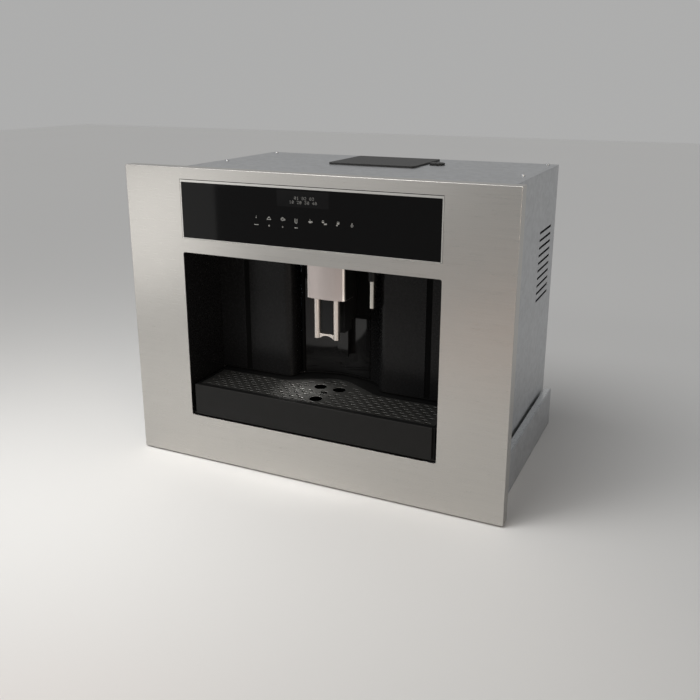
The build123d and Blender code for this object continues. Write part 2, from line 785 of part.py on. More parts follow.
def rear_liner(with_strip):
    wall = slab(jamb_profile(with_strip), DECK_TOP, CEILING_Z)
    wall -= box(GROOVE_X - GROOVE_W / 2, GROOVE_X + GROOVE_W / 2, WALL_Y - PAST, WALL_Y + GROOVE_D,
                DECK_TOP - PAST, CEILING_Z + PAST)
    if with_strip:
        port_z = HOLDER_Z + HOLDER_H / 2
        wall -= rod_x(PORT_Y, port_z, JAMB_X - PAST, JAMB_X + LINER_T + PAST, PORT_R)
    return wall


def light_bar():
    half = NICHE_X - LIGHT_MARGIN
    bar = box(-half, half, FASCIA_T, FASCIA_T + LIGHT_D, OPENING_TOP + LIGHT_GAP, CEILING_Z)
    mid = FASCIA_T + LIGHT_D / 2
    for x in (-LENS_X, LENS_X):
        bar -= rod_z(x, mid, OPENING_TOP, OPENING_TOP + LENS_SINK, LENS_R)
    return bar


def cup_lights():
    mid = FASCIA_T + LIGHT_D / 2
    low = OPENING_TOP + LIGHT_GAP - LENS_PROUD
    return [rod_z(x, mid, low, OPENING_TOP + LENS_SINK, LENS_R) for x in (-LENS_X, LENS_X)]


def deck_plate():
    deck = box(-INNER_X, INNER_X, WALL_Y, REAR_Y - CASING_T, DECK_Z, DECK_TOP)
    deck -= slab(niche_plan(), DECK_Z - PAST, DECK_TOP + PAST)
    deck += rod_z(HINGE_X, HINGE_Y, DECK_Z, DECK_TOP, HINGE_R)
    deck -= rod_z(HINGE_X, HINGE_Y, DECK_Z - PAST, DECK_TOP + PAST, PIN_R + PIN_FIT)
    hole_y = BREW_Y + BREW_CHAMBER_R
    return deck - box(-CHUTE_HOLE_W / 2, CHUTE_HOLE_W / 2, hole_y, hole_y + CHUTE_HOLE_D,
                      DECK_Z - PAST, DECK_TOP + PAST)


def tray_bay():
    side = NICHE_X
    front = TRAY_Y + BAY_SET
    bay = box(-side, side, front, BAY_BACK, TRAY_Z - BAY_T, TRAY_Z)
    for sign in (-1, 1):
        x0, x1 = sorted((sign * side, sign * (side - BAY_CHEEK)))
        bay += box(x0, x1, WALL_Y, BAY_BACK, TRAY_Z, DECK_Z)
        mid = sign * BAY_LEG_X
        bay += box(mid - BAY_LEG_W / 2, mid + BAY_LEG_W / 2, CASING_Y + BAY_LEG_IN, BAY_BACK - BAY_LEG_IN,
                   CASING_Z + CASING_T, TRAY_Z - BAY_T)
    return bay


# ---------------------------------------------------------------- service door and spout
def service_door():
    span = [HINGE_X, (HINGE_X + DOOR_EDGE_X) / 2, DOOR_EDGE_X]
    outer = ALCOVE_R + DOOR_T
    front = [(x, alcove_y(x)) for x in span]
    back = [(x, alcove_y(x, outer)) for x in reversed(span)]
    plan = make_face(Curve() + [
        ThreePointArc(*front),
        Line(front[-1], back[0]),
        ThreePointArc(*back),
        Line(back[-1], front[0]),
    ])
    door = slab(plan, DOOR_Z, DOOR_TOP)
    door += rod_z(HINGE_X, HINGE_Y, DOOR_Z, DOOR_TOP, HINGE_R)
    low, high = DOOR_Z + RUNNER_UP, DOOR_TOP - RUNNER_TOP_GAP
    stem, head = RUNNER_STEM_W / 2, RUNNER_HEAD_W / 2
    door += box(-stem, stem, RUNNER_Y, ALCOVE_DEPTH + DOOR_T / 2, low, high)
    door += box(-head, head, RUNNER_Y, RUNNER_Y + RUNNER_HEAD_T, low, high)
    bore = PIN_R + PIN_FIT
    door -= rod_z(HINGE_X, HINGE_Y, DOOR_Z - PAST, DOOR_Z + PIN_IN_DOOR + PAST, bore)
    return door - rod_z(HINGE_X, HINGE_Y, DOOR_TOP - PIN_IN_DOOR - PAST, DOOR_TOP + PAST, bore)


def door_pins():
    low = rod_z(HINGE_X, HINGE_Y, DECK_Z, DOOR_Z + PIN_IN_DOOR, PIN_R)
    high = rod_z(HINGE_X, HINGE_Y, DOOR_TOP - PIN_IN_DOOR, CEILING_Z + WALL_T, PIN_R)
    return [low, high]


def head_plan(inset, back):
    """Outline of the spout head: straight sides and a front that stands out in the middle."""
    half = HEAD_W / 2 - inset
    front = HEAD_Y + inset
    sides = Polyline((-half, front), (-half, back), (half, back), (half, front))
    face = make_face(sides + ThreePointArc((-half, front), (0, front - HEAD_BULGE), (half, front)))
    return fillet([v for v in face.vertices() if abs(v.Y - front) < SAME], HEAD_R - inset)


def spout_cover():
    shell = slab(head_plan(0, HEAD_BACK), HEAD_Z, HEAD_TOP)
    return shell - slab(head_plan(COVER_T, HEAD_BACK + PAST), HEAD_Z - PAST, HEAD_TOP - COVER_T)


def spout_carrier():
    floor_z = HEAD_Z + COVER_T
    core = slab(head_plan(COVER_T, HEAD_BACK), floor_z, HEAD_TOP - COVER_T)
    body_z = PIPE_Z + BRIDGE_H
    body_back = RUNNER_Y - NECK_CUT
    core += box(-BODY_W / 2, BODY_W / 2, BODY_Y, body_back, body_z, HEAD_TOP - COVER_T)
    core += box(-NECK_W / 2, NECK_W / 2, body_back, NECK_END_Y, body_z + NECK_CUT, HEAD_TOP - COVER_T)
    core += box(-PIPE_X, PIPE_X, PIPE_Y + PLATE_SET, BODY_Y, body_z, floor_z)
    for x in (-PIPE_X, PIPE_X):
        core -= rod_z(x, PIPE_Y, PIPE_Z, HEAD_Z + PIPE_IN_HEAD, PIPE_R)
    stem, head = RUNNER_STEM_W / 2 + SLIDE_FIT, RUNNER_HEAD_W / 2 + SLIDE_FIT
    core -= box(-stem, stem, RUNNER_Y - SLIDE_FIT, NECK_END_Y + PAST, body_z - PAST, HEAD_TOP)
    return core - box(-head, head, RUNNER_Y - SLIDE_FIT, RUNNER_Y + RUNNER_HEAD_T + SLIDE_FIT,
                      body_z - PAST, HEAD_TOP)


def coffee_pipes():
    top = HEAD_Z + PIPE_IN_HEAD
    bridge = box(-PIPE_X, PIPE_X, PIPE_Y - BRIDGE_T / 2, PIPE_Y + BRIDGE_T / 2, PIPE_Z, PIPE_Z + BRIDGE_H)
    half = PIPE_X - PIPE_R
    radius = (half**2 + ARCH_RISE**2) / (2 * ARCH_RISE)
    bridge -= rod_y(0, PIPE_Z + ARCH_RISE - radius, PIPE_Y - BRIDGE_T, PIPE_Y + BRIDGE_T, radius)
    for x in (-PIPE_X, PIPE_X):
        bridge += rod_z(x, PIPE_Y, PIPE_Z, top, PIPE_R)
    for x in (-PIPE_X, PIPE_X):
        bridge -= rod_z(x, PIPE_Y, PIPE_Z - PAST, top + PAST, PIPE_BORE_R)
    return bridge


def nozzle_holder():
    top = HOLDER_Z + HOLDER_H
    mid = HOLDER_Z + HOLDER_H / 2
    holder = rod_z(NOZZLE_X, NOZZLE_Y, HOLDER_Z, top, HOLDER_R)
    holder += box(NOZZLE_X - HOLDER_R, JAMB_X, NOZZLE_Y, JAMB_BACK - HOLDER_GAP,
                  HOLDER_Z + HOLDER_INSET, top - HOLDER_INSET)
    holder -= rod_z(NOZZLE_X, NOZZLE_Y, HOLDER_Z - PAST, mid, NOZZLE_R)
    return holder + rod_x(PORT_Y, mid, JAMB_X - PAST, JAMB_X + LINER_T + 2 * PORT_L, PORT_R)


def hot_water_nozzle():
    mid = HOLDER_Z + HOLDER_H / 2
    tube = rod_z(NOZZLE_X, NOZZLE_Y, NOZZLE_Z, mid, NOZZLE_R)
    return tube - rod_z(NOZZLE_X, NOZZLE_Y, NOZZLE_Z - PAST, mid + PAST, NOZZLE_BORE_R)


# ---------------------------------------------------------------- drip tray
def grid_plan(inset=0.0):
    """Outline of the drip grid: a strip with a rounded nose towards the alcove."""
    half = GRID_W / 2 - inset
    front = GRID_Y + inset
    back = GRID_BACK - inset
    nose = GRID_NOSE - inset
    points = [
        (-half, front), (half, front), (half, back), (NOSE_FOOT, back), (NOSE_TIP, nose),
        (-NOSE_TIP, nose), (-NOSE_FOOT, back), (-half, back),
    ]
    face = make_face(Polyline(*points, close=True))
    for foot, radius in ((NOSE_FOOT, NOSE_FOOT_R), (NOSE_TIP, NOSE_TIP_R)):
        face = fillet([v for v in face.vertices() if abs(abs(v.X) - foot) < SAME], radius)
    return face


def tray_front():
    half = TRAY_FRONT_W / 2
    front = box(-half, half, TRAY_Y - TRAY_FRONT_T, TRAY_Y, TRAY_Z, TRAY_TOP + TRAY_FRONT_LIP)
    return fillet(front.edges().filter_by(Axis.Y).group_by(Axis.Z)[0], TRAY_FRONT_R)


def drip_tray():
    half = TRAY_W / 2
    bay_half = GROUNDS_W / 2 + GROUNDS_GAP
    bay_y = GROUNDS_Y - GROUNDS_GAP
    tray = box(-half, half, TRAY_Y, PAN_BACK, TRAY_Z, TRAY_TOP)
    wide = bay_half + TRAY_WALL
    tray += box(-wide, wide, PAN_BACK - PAST, TRAY_BACK, TRAY_Z, TRAY_TOP)
    tray -= box(-half + TRAY_WALL, half - TRAY_WALL, TRAY_Y + TRAY_WALL, PAN_BACK - TRAY_WALL,
                TRAY_FLOOR, TRAY_TOP - TRAY_RIM)
    tray -= slab(grid_plan(GRID_LEDGE), TRAY_FLOOR, TRAY_TOP + PAST)
    tray -= slab(grid_plan(-GRID_FIT), GRID_Z, TRAY_TOP + PAST)
    return tray - box(-bay_half, bay_half, bay_y, TRAY_BACK - TRAY_WALL, TRAY_FLOOR, TRAY_TOP + PAST)


def grid_holes():
    """Round drains, the float's hole and the rows of slots between them."""
    rounds = [(-PIPE_X, PIPE_Y + DRAIN_SET, DRAIN_R), (PIPE_X, PIPE_Y + DRAIN_SET, DRAIN_R),
              (0, DRAIN_FRONT_Y, DRAIN_R), (0, FLOAT_Y, FLOAT_HOLE_R)]
    holes = [Pos(x, y, 0) * Wire([Edge.make_circle(r)]) for x, y, r in rounds]
    reach = SLOT_L / 2 + SLOT_CLEAR_X
    slope = (GRID_NOSE - GRID_BACK) / (NOSE_FOOT - NOSE_TIP)
    rows = int((GRID_NOSE - GRID_Y - 2 * GRID_EDGE) / SLOT_PITCH_Y) + 1
    columns = int(GRID_W / SLOT_PITCH_X / 2) + 1
    for row in range(rows):
        y = GRID_Y + GRID_EDGE + row * SLOT_PITCH_Y
        shift = SLOT_PITCH_X / 2 * (row % 2)
        limit = GRID_W / 2 - GRID_EDGE
        if y > GRID_BACK - GRID_EDGE:
            limit = NOSE_FOOT - (y + GRID_EDGE - GRID_BACK) / slope - SLOT_CLEAR_Y
        for column in range(-columns, columns + 1):
            x = column * SLOT_PITCH_X + shift
            near = any(abs(x - cx) < r + reach and abs(y - cy) < r + SLOT_CLEAR_Y for cx, cy, r in rounds)
            if abs(x) + SLOT_L / 2 > limit or near:
                continue
            outline = SlotOverall(SLOT_L, SLOT_W).face().outer_wire()
            holes.append(Pos(x, y, 0) * outline)
    return holes


def drip_grid():
    face = Face(grid_plan().face().outer_wire(), grid_holes())
    return extrude(Pos(0, 0, GRID_Z) * face, GRID_T, dir=(0, 0, 1))


def level_float():
    low = TRAY_FLOOR + FLOAT_GAP
    body = rod_z(0, FLOAT_Y, low, low + FLOAT_H, FLOAT_R)
    return body + rod_z(0, FLOAT_Y, low + FLOAT_H, GRID_Z + GRID_T, FLOAT_STEM_R)


def grounds_container():
    half = GROUNDS_W / 2
    back = GROUNDS_Y + GROUNDS_D
    tub = box(-half, half, GROUNDS_Y, back, TRAY_FLOOR, TRAY_FLOOR + GROUNDS_H)
    return tub - box(-half + GROUNDS_WALL, half - GROUNDS_WALL, GROUNDS_Y + GROUNDS_WALL,
                     back - GROUNDS_WALL, TRAY_FLOOR + GROUNDS_WALL, TRAY_FLOOR + GROUNDS_H + PAST)


# ---------------------------------------------------------------- water tank
def water_tank():
    back = TANK_Y + TANK_D
    tank = box(TANK_X, TANK_RIGHT, TANK_Y, back, TANK_Z, TANK_TOP)
    tank = fillet(tank.edges().filter_by(Axis.Z), TANK_R)
    inner = box(TANK_X + TANK_WALL, TANK_RIGHT - TANK_WALL, TANK_Y + TANK_WALL, back - TANK_WALL,
                TANK_Z + TANK_WALL, TANK_TOP + PAST)
    tank -= fillet(inner.edges().filter_by(Axis.Z), TANK_R - TANK_WALL)
    tank += rod_x(TANK_MID_Y, VALVE_Z, TANK_RIGHT - TANK_WALL / 2, TANK_RIGHT + VALVE_L, VALVE_R)
    return tank - rod_x(TANK_MID_Y, VALVE_Z, TANK_RIGHT - TANK_WALL - PAST, TANK_RIGHT + VALVE_L + PAST,
                        VALVE_BORE_R)


def tank_lid():
    back = TANK_Y + TANK_D
    lid = box(TANK_X, TANK_RIGHT, TANK_Y, back, TANK_TOP, TANK_TOP + LID_T)
    lid = fillet(lid.edges().filter_by(Axis.Z), TANK_R)
    lid -= box(TANK_LID_X, TANK_RIGHT + PAST, TANK_Y - PAST, back + PAST, TANK_TOP - PAST, TANK_LID_Z + LID_T)
    return lid + rod_y(TANK_LID_X, TANK_LID_Z, TANK_Y + TANK_R, back - TANK_R, LID_T / 2)


def tank_socket():
    left = TANK_RIGHT + SOCKET_GAP
    end = left + SOCKET_L
    ring = rod_x(TANK_MID_Y, VALVE_Z, left, end, SOCKET_R)
    ring += box(end - SOCKET_FOOT, end, TANK_MID_Y - SOCKET_R, TANK_MID_Y + SOCKET_R, DECK_TOP, VALVE_Z)
    ring -= rod_x(TANK_MID_Y, VALVE_Z, left - PAST, end - SOCKET_END, VALVE_R + VALVE_FIT)
    ring += rod_x(TANK_MID_Y, VALVE_Z, end - PAST, end + BARB_L, BARB_R)
    return ring - rod_x(TANK_MID_Y, VALVE_Z, left + PAST, end + BARB_L + PAST, HOSE_BORE_R)


# ---------------------------------------------------------------- hopper and grinder
def bean_hopper():
    def funnel(w, d, r, z0, z_mid, z1):
        mouth = Pos(0, GRINDER_Y, z_mid) * Rectangle(w, d)
        neck = Pos(0, GRINDER_Y, z0) * Rectangle(2 * r, 2 * r)
        return loft([neck.face(), mouth.face()]) + slab(Pos(0, GRINDER_Y) * Rectangle(w, d), z_mid, z1)

    outer = funnel(HOPPER_W, HOPPER_D, HOPPER_NECK_R, GRINDER_TOP, HOPPER_Z, CASING_TOP)
    inner = funnel(HOPPER_W - 2 * HOPPER_WALL, HOPPER_D - 2 * HOPPER_WALL, HOPPER_NECK_R - HOPPER_WALL,
                   GRINDER_TOP - SAME, HOPPER_Z + HOPPER_WALL, CASING_TOP + PAST)
    return outer - inner


def hopper_lid():
    half_w, half_d = HOPPER_W / 2 + LID_MARGIN, HOPPER_D / 2 + LID_MARGIN
    lid = box(-half_w, half_w, GRINDER_Y - half_d, GRINDER_Y + half_d, CASING_TOP, CASING_TOP + LID_T)
    lid = fillet(lid.edges().filter_by(Axis.Z), LID_R)
    lid -= box(-half_w - PAST, half_w + PAST, HOPPER_LID_Y, GRINDER_Y + half_d + PAST,
               CASING_TOP - PAST, HOPPER_LID_Z + LID_T)
    return lid + rod_x(HOPPER_LID_Y, HOPPER_LID_Z, LID_R - half_w, half_w - LID_R, LID_T / 2)


def grinder_body():
    body = rod_z(0, GRINDER_Y, GRINDER_Z, GRINDER_TOP, GRINDER_R)
    body += box(GRINDER_R - EAR_ROOT, KNOB_X + EAR_W / 2, GRINDER_Y - EAR_W / 2, GRINDER_Y + EAR_W / 2,
                GRINDER_TOP - EAR_H, GRINDER_TOP)
    front = GRINDER_Y - GRINDER_R
    root = front + CHUTE_ROOT
    roof = GRINDER_TOP - CHUTE_ROOF
    end_back = CHUTE_END_Y + CHUTE_END_D
    outer = [(root, roof), (front - CHUTE_REACH, roof), (CHUTE_END_Y, CHUTE_END_Z),
             (end_back, CHUTE_END_Z), (root, GRINDER_Z)]
    body += prism_x(outer, CHUTE_W / 2)
    body -= rod_z(0, GRINDER_Y, GRINDER_Z + GRINDER_FLOOR, GRINDER_TOP + PAST, CHAMBER_R)
    floor = GRINDER_Z + GRINDER_FLOOR
    mouth = GRINDER_Y - CHAMBER_R + CHUTE_MOUTH
    low = CHUTE_END_Z - CHUTE_WALL
    inner = [(mouth, roof - CHUTE_WALL), (front - CHUTE_REACH + CHUTE_WALL, roof - CHUTE_WALL),
             (CHUTE_END_Y + CHUTE_WALL, low), (end_back - CHUTE_WALL, low),
             (root - CHUTE_WALL, floor), (mouth, floor)]
    body -= prism_x(inner, CHUTE_W / 2 - CHUTE_WALL)
    body -= rod_z(0, GRINDER_Y, GRINDER_Z - PAST, floor + PAST, SHAFT_R + SHAFT_FIT)
    return body - rod_z(KNOB_X, GRINDER_Y, GRINDER_TOP - EAR_H + KNOB_SEAT, GRINDER_TOP + PAST,
                        KNOB_SHAFT_R + SHAFT_FIT)


def prism_x(points, half):
    """A side outline in Y and Z, drawn out to both sides of the middle."""
    face = make_face(Plane.YZ * Polyline(*points, close=True))
    return extrude(face, half, dir=(1, 0, 0), both=True)


def upper_burr():
    low = BURR_Z + BURR_H + BURR_GAP
    ring = rod_z(0, GRINDER_Y, low, low + UPPER_BURR_H, CHAMBER_R)
    return ring - rod_z(0, GRINDER_Y, low - PAST, low + UPPER_BURR_H + PAST, UPPER_BURR_BORE)


def lower_burr():
    burr = rod_z(0, GRINDER_Y, BURR_Z, BURR_Z + BURR_H, BURR_R)
    top = Pos(0, GRINDER_Y, BURR_Z + BURR_H)
    tooth = Pos(BURR_R, 0, 0) * Box(TOOTH_L * 2, TOOTH_W, TOOTH_H)
    for n in range(BURR_TEETH):
        burr -= top * Rot(0, 0, n * 360 / BURR_TEETH) * tooth
    burr += top * extrude(Circle(CONE_R), CONE_H, taper=CONE_TAPER)
    return burr + rod_z(0, GRINDER_Y, GRINDER_Z - SHAFT_BELOW, BURR_Z, SHAFT_R)


def grinder_motor():
    motor = rod_z(0, GRINDER_Y, GRINDER_Z - MOTOR_H, GRINDER_Z, MOTOR_R)
    motor = chamfer(motor.edges().sort_by(Axis.Z)[0], MOTOR_BEVEL)
    motor += box(-STAY_W / 2, STAY_W / 2, GRINDER_Y + MOTOR_R - STAY_IN, REAR_Y - CASING_T,
                 STAY_Z, STAY_Z + STAY_H)
    return motor - rod_z(0, GRINDER_Y, GRINDER_Z - SHAFT_BELOW - PAST, GRINDER_Z + PAST, SHAFT_R + SHAFT_FIT)


def grind_knob():
    low = CASING_TOP + KNOB_GAP
    top = low + KNOB_T
    disc = rod_z(KNOB_X, GRINDER_Y, low, top, KNOB_R)
    disc -= box(KNOB_X - KNOB_SLOT_W / 2, KNOB_X + KNOB_SLOT_W / 2, GRINDER_Y - KNOB_R,
                GRINDER_Y - KNOB_SLOT_IN, top - KNOB_SLOT_H, top + PAST)
    shaft_z = GRINDER_TOP - EAR_H + KNOB_SEAT + KNOB_GAP
    return disc + rod_z(KNOB_X, GRINDER_Y, shaft_z, low, KNOB_SHAFT_R)


# ---------------------------------------------------------------- brew unit
def brew_frame():
    y0, y1 = BREW_Y - BREW_FRAME_D / 2, BREW_Y + BREW_FRAME_D / 2
    frame = box(BREW_LEFT_X, BREW_RIGHT_X, y0, y1, DECK_TOP, BREW_BRIDGE_TOP)
    frame -= box(BREW_LEFT_X + BREW_PLATE_T, BREW_RIGHT_X - BREW_PLATE_T, y0 - PAST, y1 + PAST,
                 DECK_TOP + BREW_BRIDGE_T, BREW_TOP_Z)
    frame -= rod_z(SCREW_X, BREW_Y, DECK_TOP + SCREW_SEAT, BREW_BRIDGE_TOP + PAST, SCREW_R + SHAFT_FIT)
    piston_z = BREW_TOP_Z - PISTON_L
    frame += rod_z(0, BREW_Y, piston_z, piston_z + PISTON_H, BREW_BORE_R - PISTON_FIT)
    frame += rod_z(0, BREW_Y, piston_z + PISTON_H - PAST, BREW_TOP_Z + PAST, PISTON_STEM_R)
    return frame + rod_z(0, BREW_Y, BREW_BRIDGE_TOP - PAST, BREW_BRIDGE_TOP + PORT_L, PORT_R)


def brew_chamber():
    cup = rod_z(0, BREW_Y, BREW_CHAMBER_Z, BREW_CHAMBER_TOP, BREW_CHAMBER_R)
    arm_z = BREW_CHAMBER_Z + NUT_UP
    cup += box(BREW_CHAMBER_R - NUT_ROOT, SCREW_X + NUT_W / 2, BREW_Y - NUT_W / 2, BREW_Y + NUT_W / 2,
               arm_z, arm_z + NUT_H)
    cup -= rod_z(0, BREW_Y, BREW_CHAMBER_Z + BREW_FLOOR, BREW_CHAMBER_TOP + PAST, BREW_BORE_R)
    return cup - rod_z(SCREW_X, BREW_Y, arm_z - PAST, arm_z + NUT_H + PAST, SCREW_R + NUT_FIT)


def lead_screw():
    return rod_z(SCREW_X, BREW_Y, DECK_TOP + SCREW_SEAT + SCREW_GAP, BREW_BRIDGE_TOP + SCREW_PAST, SCREW_R)


def brew_motor():
    half = BREW_MOTOR_W / 2
    motor = box(SCREW_X - half, SCREW_X + half, BREW_Y - half, BREW_Y + half,
                BREW_BRIDGE_TOP, BREW_BRIDGE_TOP + BREW_GEAR_H)
    motor += rod_z(SCREW_X, BREW_Y, BREW_BRIDGE_TOP + BREW_GEAR_H - PAST, BREW_BRIDGE_TOP + BREW_MOTOR_H,
                   half - BREW_CAN_SET)
    return motor - rod_z(SCREW_X, BREW_Y, BREW_BRIDGE_TOP - PAST, BREW_BRIDGE_TOP + SCREW_PAST + SCREW_GAP,
                         SCREW_R + SHAFT_FIT)


# ---------------------------------------------------------------- water circuit
def thermoblock():
    block = box(HEATER_X, HEATER_X + HEATER_W, HEATER_Y, HEATER_Y + HEATER_D, HEATER_Z, HEATER_TOP)
    pitch = HEATER_W / HEATER_FINS
    for n in range(1, HEATER_FINS):
        x = HEATER_X + n * pitch
        block -= box(x - FIN_GAP / 2, x + FIN_GAP / 2, HEATER_Y - PAST, HEATER_Y + HEATER_D + PAST,
                     HEATER_TOP - FIN_H, HEATER_TOP + PAST)
    for x in (HEATER_X + HEATER_LEG_IN, HEATER_X + HEATER_W - HEATER_LEG_IN):
        for y in (HEATER_Y + HEATER_LEG_IN, HEATER_Y + HEATER_D - HEATER_LEG_IN):
            block += rod_z(x, y, DECK_TOP, HEATER_Z, HEATER_LEG_R)
    block += rod_y(FEED_PORT_X, HEATER_PORT_Z, HEATER_Y - PORT_L, HEATER_Y + PAST, PORT_R)
    for y in (BREW_PORT_Y, HOT_PORT_Y):
        block += rod_x(y, HEATER_PORT_Z, HEATER_X - PORT_L, HEATER_X + PAST, PORT_R)
    return block


def water_pump():
    end = PUMP_Y + PUMP_L
    mid = PUMP_Y + PUMP_L / 2
    pump = rod_y(PUMP_X, PUMP_Z, PUMP_Y + PORT_L, end - PORT_L, PUMP_R)
    pump += rod_y(PUMP_X, PUMP_Z, PUMP_Y, end, PORT_R)
    return pump + box(PUMP_X - COIL_W / 2, PUMP_X + COIL_W / 2, mid - COIL_L / 2, mid + COIL_L / 2,
                      PUMP_Z - COIL_W / 2, PUMP_Z + COIL_W / 2)


def pump_mounts():
    mounts = []
    for y in (PUMP_Y + MOUNT_IN, PUMP_Y + PUMP_L - MOUNT_IN):
        front, back = y - MOUNT_T / 2, y + MOUNT_T / 2
        block = box(PUMP_X - MOUNT_W / 2, PUMP_X + MOUNT_W / 2, front, back, DECK_TOP, PUMP_Z + MOUNT_W / 2)
        mounts.append(block - rod_y(PUMP_X, PUMP_Z, front - PAST, back + PAST, PUMP_R))
    return mounts


def flow_meter():
    mid = VALVE_Z
    meter = rod_z(METER_X, METER_Y, mid - METER_H / 2, mid + METER_H / 2, METER_R)
    meter += rod_z(METER_X, METER_Y, DECK_TOP, mid, METER_STEM_R)
    return meter + rod_x(METER_Y, mid, METER_X - METER_R - PORT_L, METER_X + METER_R + PORT_L, PORT_R)


def hose(points):
    """A hose along straight runs joined by round bends, with its bore."""
    route = [Vector(*point) for point in points]
    route[0] += (route[1] - route[0]).normalized() * HOSE_END_GAP
    route[-1] += (route[-2] - route[-1]).normalized() * HOSE_END_GAP
    path = FilletPolyline(*route, radius=HOSE_BEND)
    start = path @ 0
    plane = Plane(start, z_dir=path % 0)
    ring = plane * (Circle(HOSE_R) - Circle(HOSE_BORE_R))
    return sweep(ring, path=path)


def supply_hoses():
    socket_x = TANK_RIGHT + SOCKET_GAP + SOCKET_L + BARB_L
    turn_x = socket_x + HOSE_RUN
    back_y = BREW_Y + SUCTION_BACK
    meter_in = METER_X - METER_R - PORT_L
    meter_out = METER_X + METER_R + PORT_L
    suction = hose([(socket_x, TANK_MID_Y, VALVE_Z), (turn_x, TANK_MID_Y, VALVE_Z),
                    (turn_x, back_y, VALVE_Z), (SUCTION_X, back_y, VALVE_Z),
                    (SUCTION_X, METER_Y, VALVE_Z), (meter_in, METER_Y, VALVE_Z)])
    feed = hose([(meter_out, METER_Y, VALVE_Z), (FEED_X, METER_Y, VALVE_Z),
                 (FEED_X, FEED_Y, VALVE_Z + FEED_RISE), (PUMP_X, FEED_Y, PUMP_Z), (PUMP_X, PUMP_Y, PUMP_Z)])
    return [suction, feed]


def heater_hoses():
    pump_end = PUMP_Y + PUMP_L
    heater_in = HEATER_Y - PORT_L
    left = HEATER_X - PORT_L
    over_z = BREW_HOSE_Z + BREW_HOSE_RISE
    front_y = BREW_Y - BREW_HOSE_FRONT
    port_top = BREW_BRIDGE_TOP + PORT_L
    nozzle_x = JAMB_X + LINER_T + 2 * PORT_L
    nozzle_z = HOLDER_Z + HOLDER_H / 2
    supply = hose([(PUMP_X, pump_end, PUMP_Z), (PUMP_X, pump_end + HOSE_RUN, PUMP_Z),
                   (FEED_PORT_X, heater_in - HOSE_RUN, HEATER_PORT_Z),
                   (FEED_PORT_X, heater_in, HEATER_PORT_Z)])
    brew = hose([(left, BREW_PORT_Y, HEATER_PORT_Z), (BREW_HOSE_X, BREW_PORT_Y, HEATER_PORT_Z),
                 (BREW_HOSE_X, BREW_PORT_Y, BREW_HOSE_Z), (BREW_HOSE_X, front_y, BREW_HOSE_Z),
                 (0, front_y, BREW_HOSE_Z), (0, BREW_Y, over_z), (0, BREW_Y, port_top)])
    hot = hose([(left, HOT_PORT_Y, HEATER_PORT_Z), (HOT_HOSE_X, HOT_PORT_Y, HEATER_PORT_Z),
                (HOT_HOSE_X, HOT_PORT_Y, nozzle_z), (HOT_HOSE_X, PORT_Y, nozzle_z),
                (nozzle_x, PORT_Y, nozzle_z)])
    return [supply, brew, hot]


def power_board():
    x0, y0 = -PCB_W / 2, REAR_Y - PCB_FROM_REAR - PCB_D
    top = PCB_Z + BOARD_T
    board = box(x0, x0 + PCB_W, y0, y0 + PCB_D, PCB_Z, top)
    for dx, dy, width, depth, height in (COIL_BLOCK, *RELAYS, HEAT_SINK):
        board += box(x0 + dx, x0 + dx + width, y0 + dy, y0 + dy + depth, top, top + height)
    board += rod_z(x0 + CAPACITOR_X, y0 + CAPACITOR_Y, top, top + CAPACITOR_H, CAPACITOR_R)
    for x in (x0 + PCB_POST_IN, x0 + PCB_W - PCB_POST_IN):
        for y in (y0 + PCB_POST_IN, y0 + PCB_D - PCB_POST_IN):
            board += rod_z(x, y, CASING_Z + CASING_T, PCB_Z, PCB_POST_R)
    return board


# ---------------------------------------------------------------- rear connections
def mains_inlet():
    half_w, half_h = INLET_W / 2, INLET_H / 2
    block = box(INLET_X - half_w, INLET_X + half_w, REAR_Y, REAR_Y + INLET_FLANGE,
                INLET_Z - half_h, INLET_Z + half_h)
    inner_w, inner_h = half_w - INLET_FLANGE, half_h - INLET_FLANGE
    block += box(INLET_X - inner_w, INLET_X + inner_w, REAR_Y - INLET_DEPTH, REAR_Y,
                 INLET_Z - inner_h, INLET_Z + inner_h)
    socket_x = INLET_X - SOCKET_OFFSET
    floor_y = REAR_Y - INLET_DEPTH + INLET_FLOOR
    block -= box(socket_x - SOCKET_W / 2, socket_x + SOCKET_W / 2, floor_y,
                 REAR_Y + INLET_FLANGE + PAST, INLET_Z - SOCKET_H / 2, INLET_Z + SOCKET_H / 2)
    for dx, dz in CONTACTS:
        x, z = socket_x + dx, INLET_Z + dz
        block += box(x - CONTACT_W / 2, x + CONTACT_W / 2, floor_y - PAST, REAR_Y - CONTACT_SINK,
                     z - CONTACT_H / 2, z + CONTACT_H / 2)
    switch_x = INLET_X + SWITCH_OFFSET
    half_x, half_z = ROCKER_W / 2 + ROCKER_GAP, ROCKER_H / 2 + ROCKER_GAP
    return block - box(switch_x - half_x, switch_x + half_x, floor_y,
                       REAR_Y + INLET_FLANGE + PAST, INLET_Z - half_z, INLET_Z + half_z)


def switch_rocker():
    switch_x = INLET_X + SWITCH_OFFSET
    half = ROCKER_W / 2
    pivot_y = REAR_Y - ROCKER_PIVOT
    low_y = REAR_Y + INLET_FLANGE - ROCKER_FLUSH
    tip = ROCKER_H / 2 - ROCKER_FLUSH
    points = [(low_y, INLET_Z - tip), (low_y + ROCKER_TILT, INLET_Z + tip), (pivot_y, INLET_Z + ROCKER_WAIST),
              (pivot_y - ROCKER_BELLY, INLET_Z), (pivot_y, INLET_Z - ROCKER_WAIST)]
    rocker = Pos(switch_x, 0, 0) * prism_x(points, half)
    return rocker + rod_x(pivot_y, INLET_Z, switch_x - half - ROCKER_GAP / 2,
                          switch_x + half + ROCKER_GAP / 2, ROCKER_PIN_R)


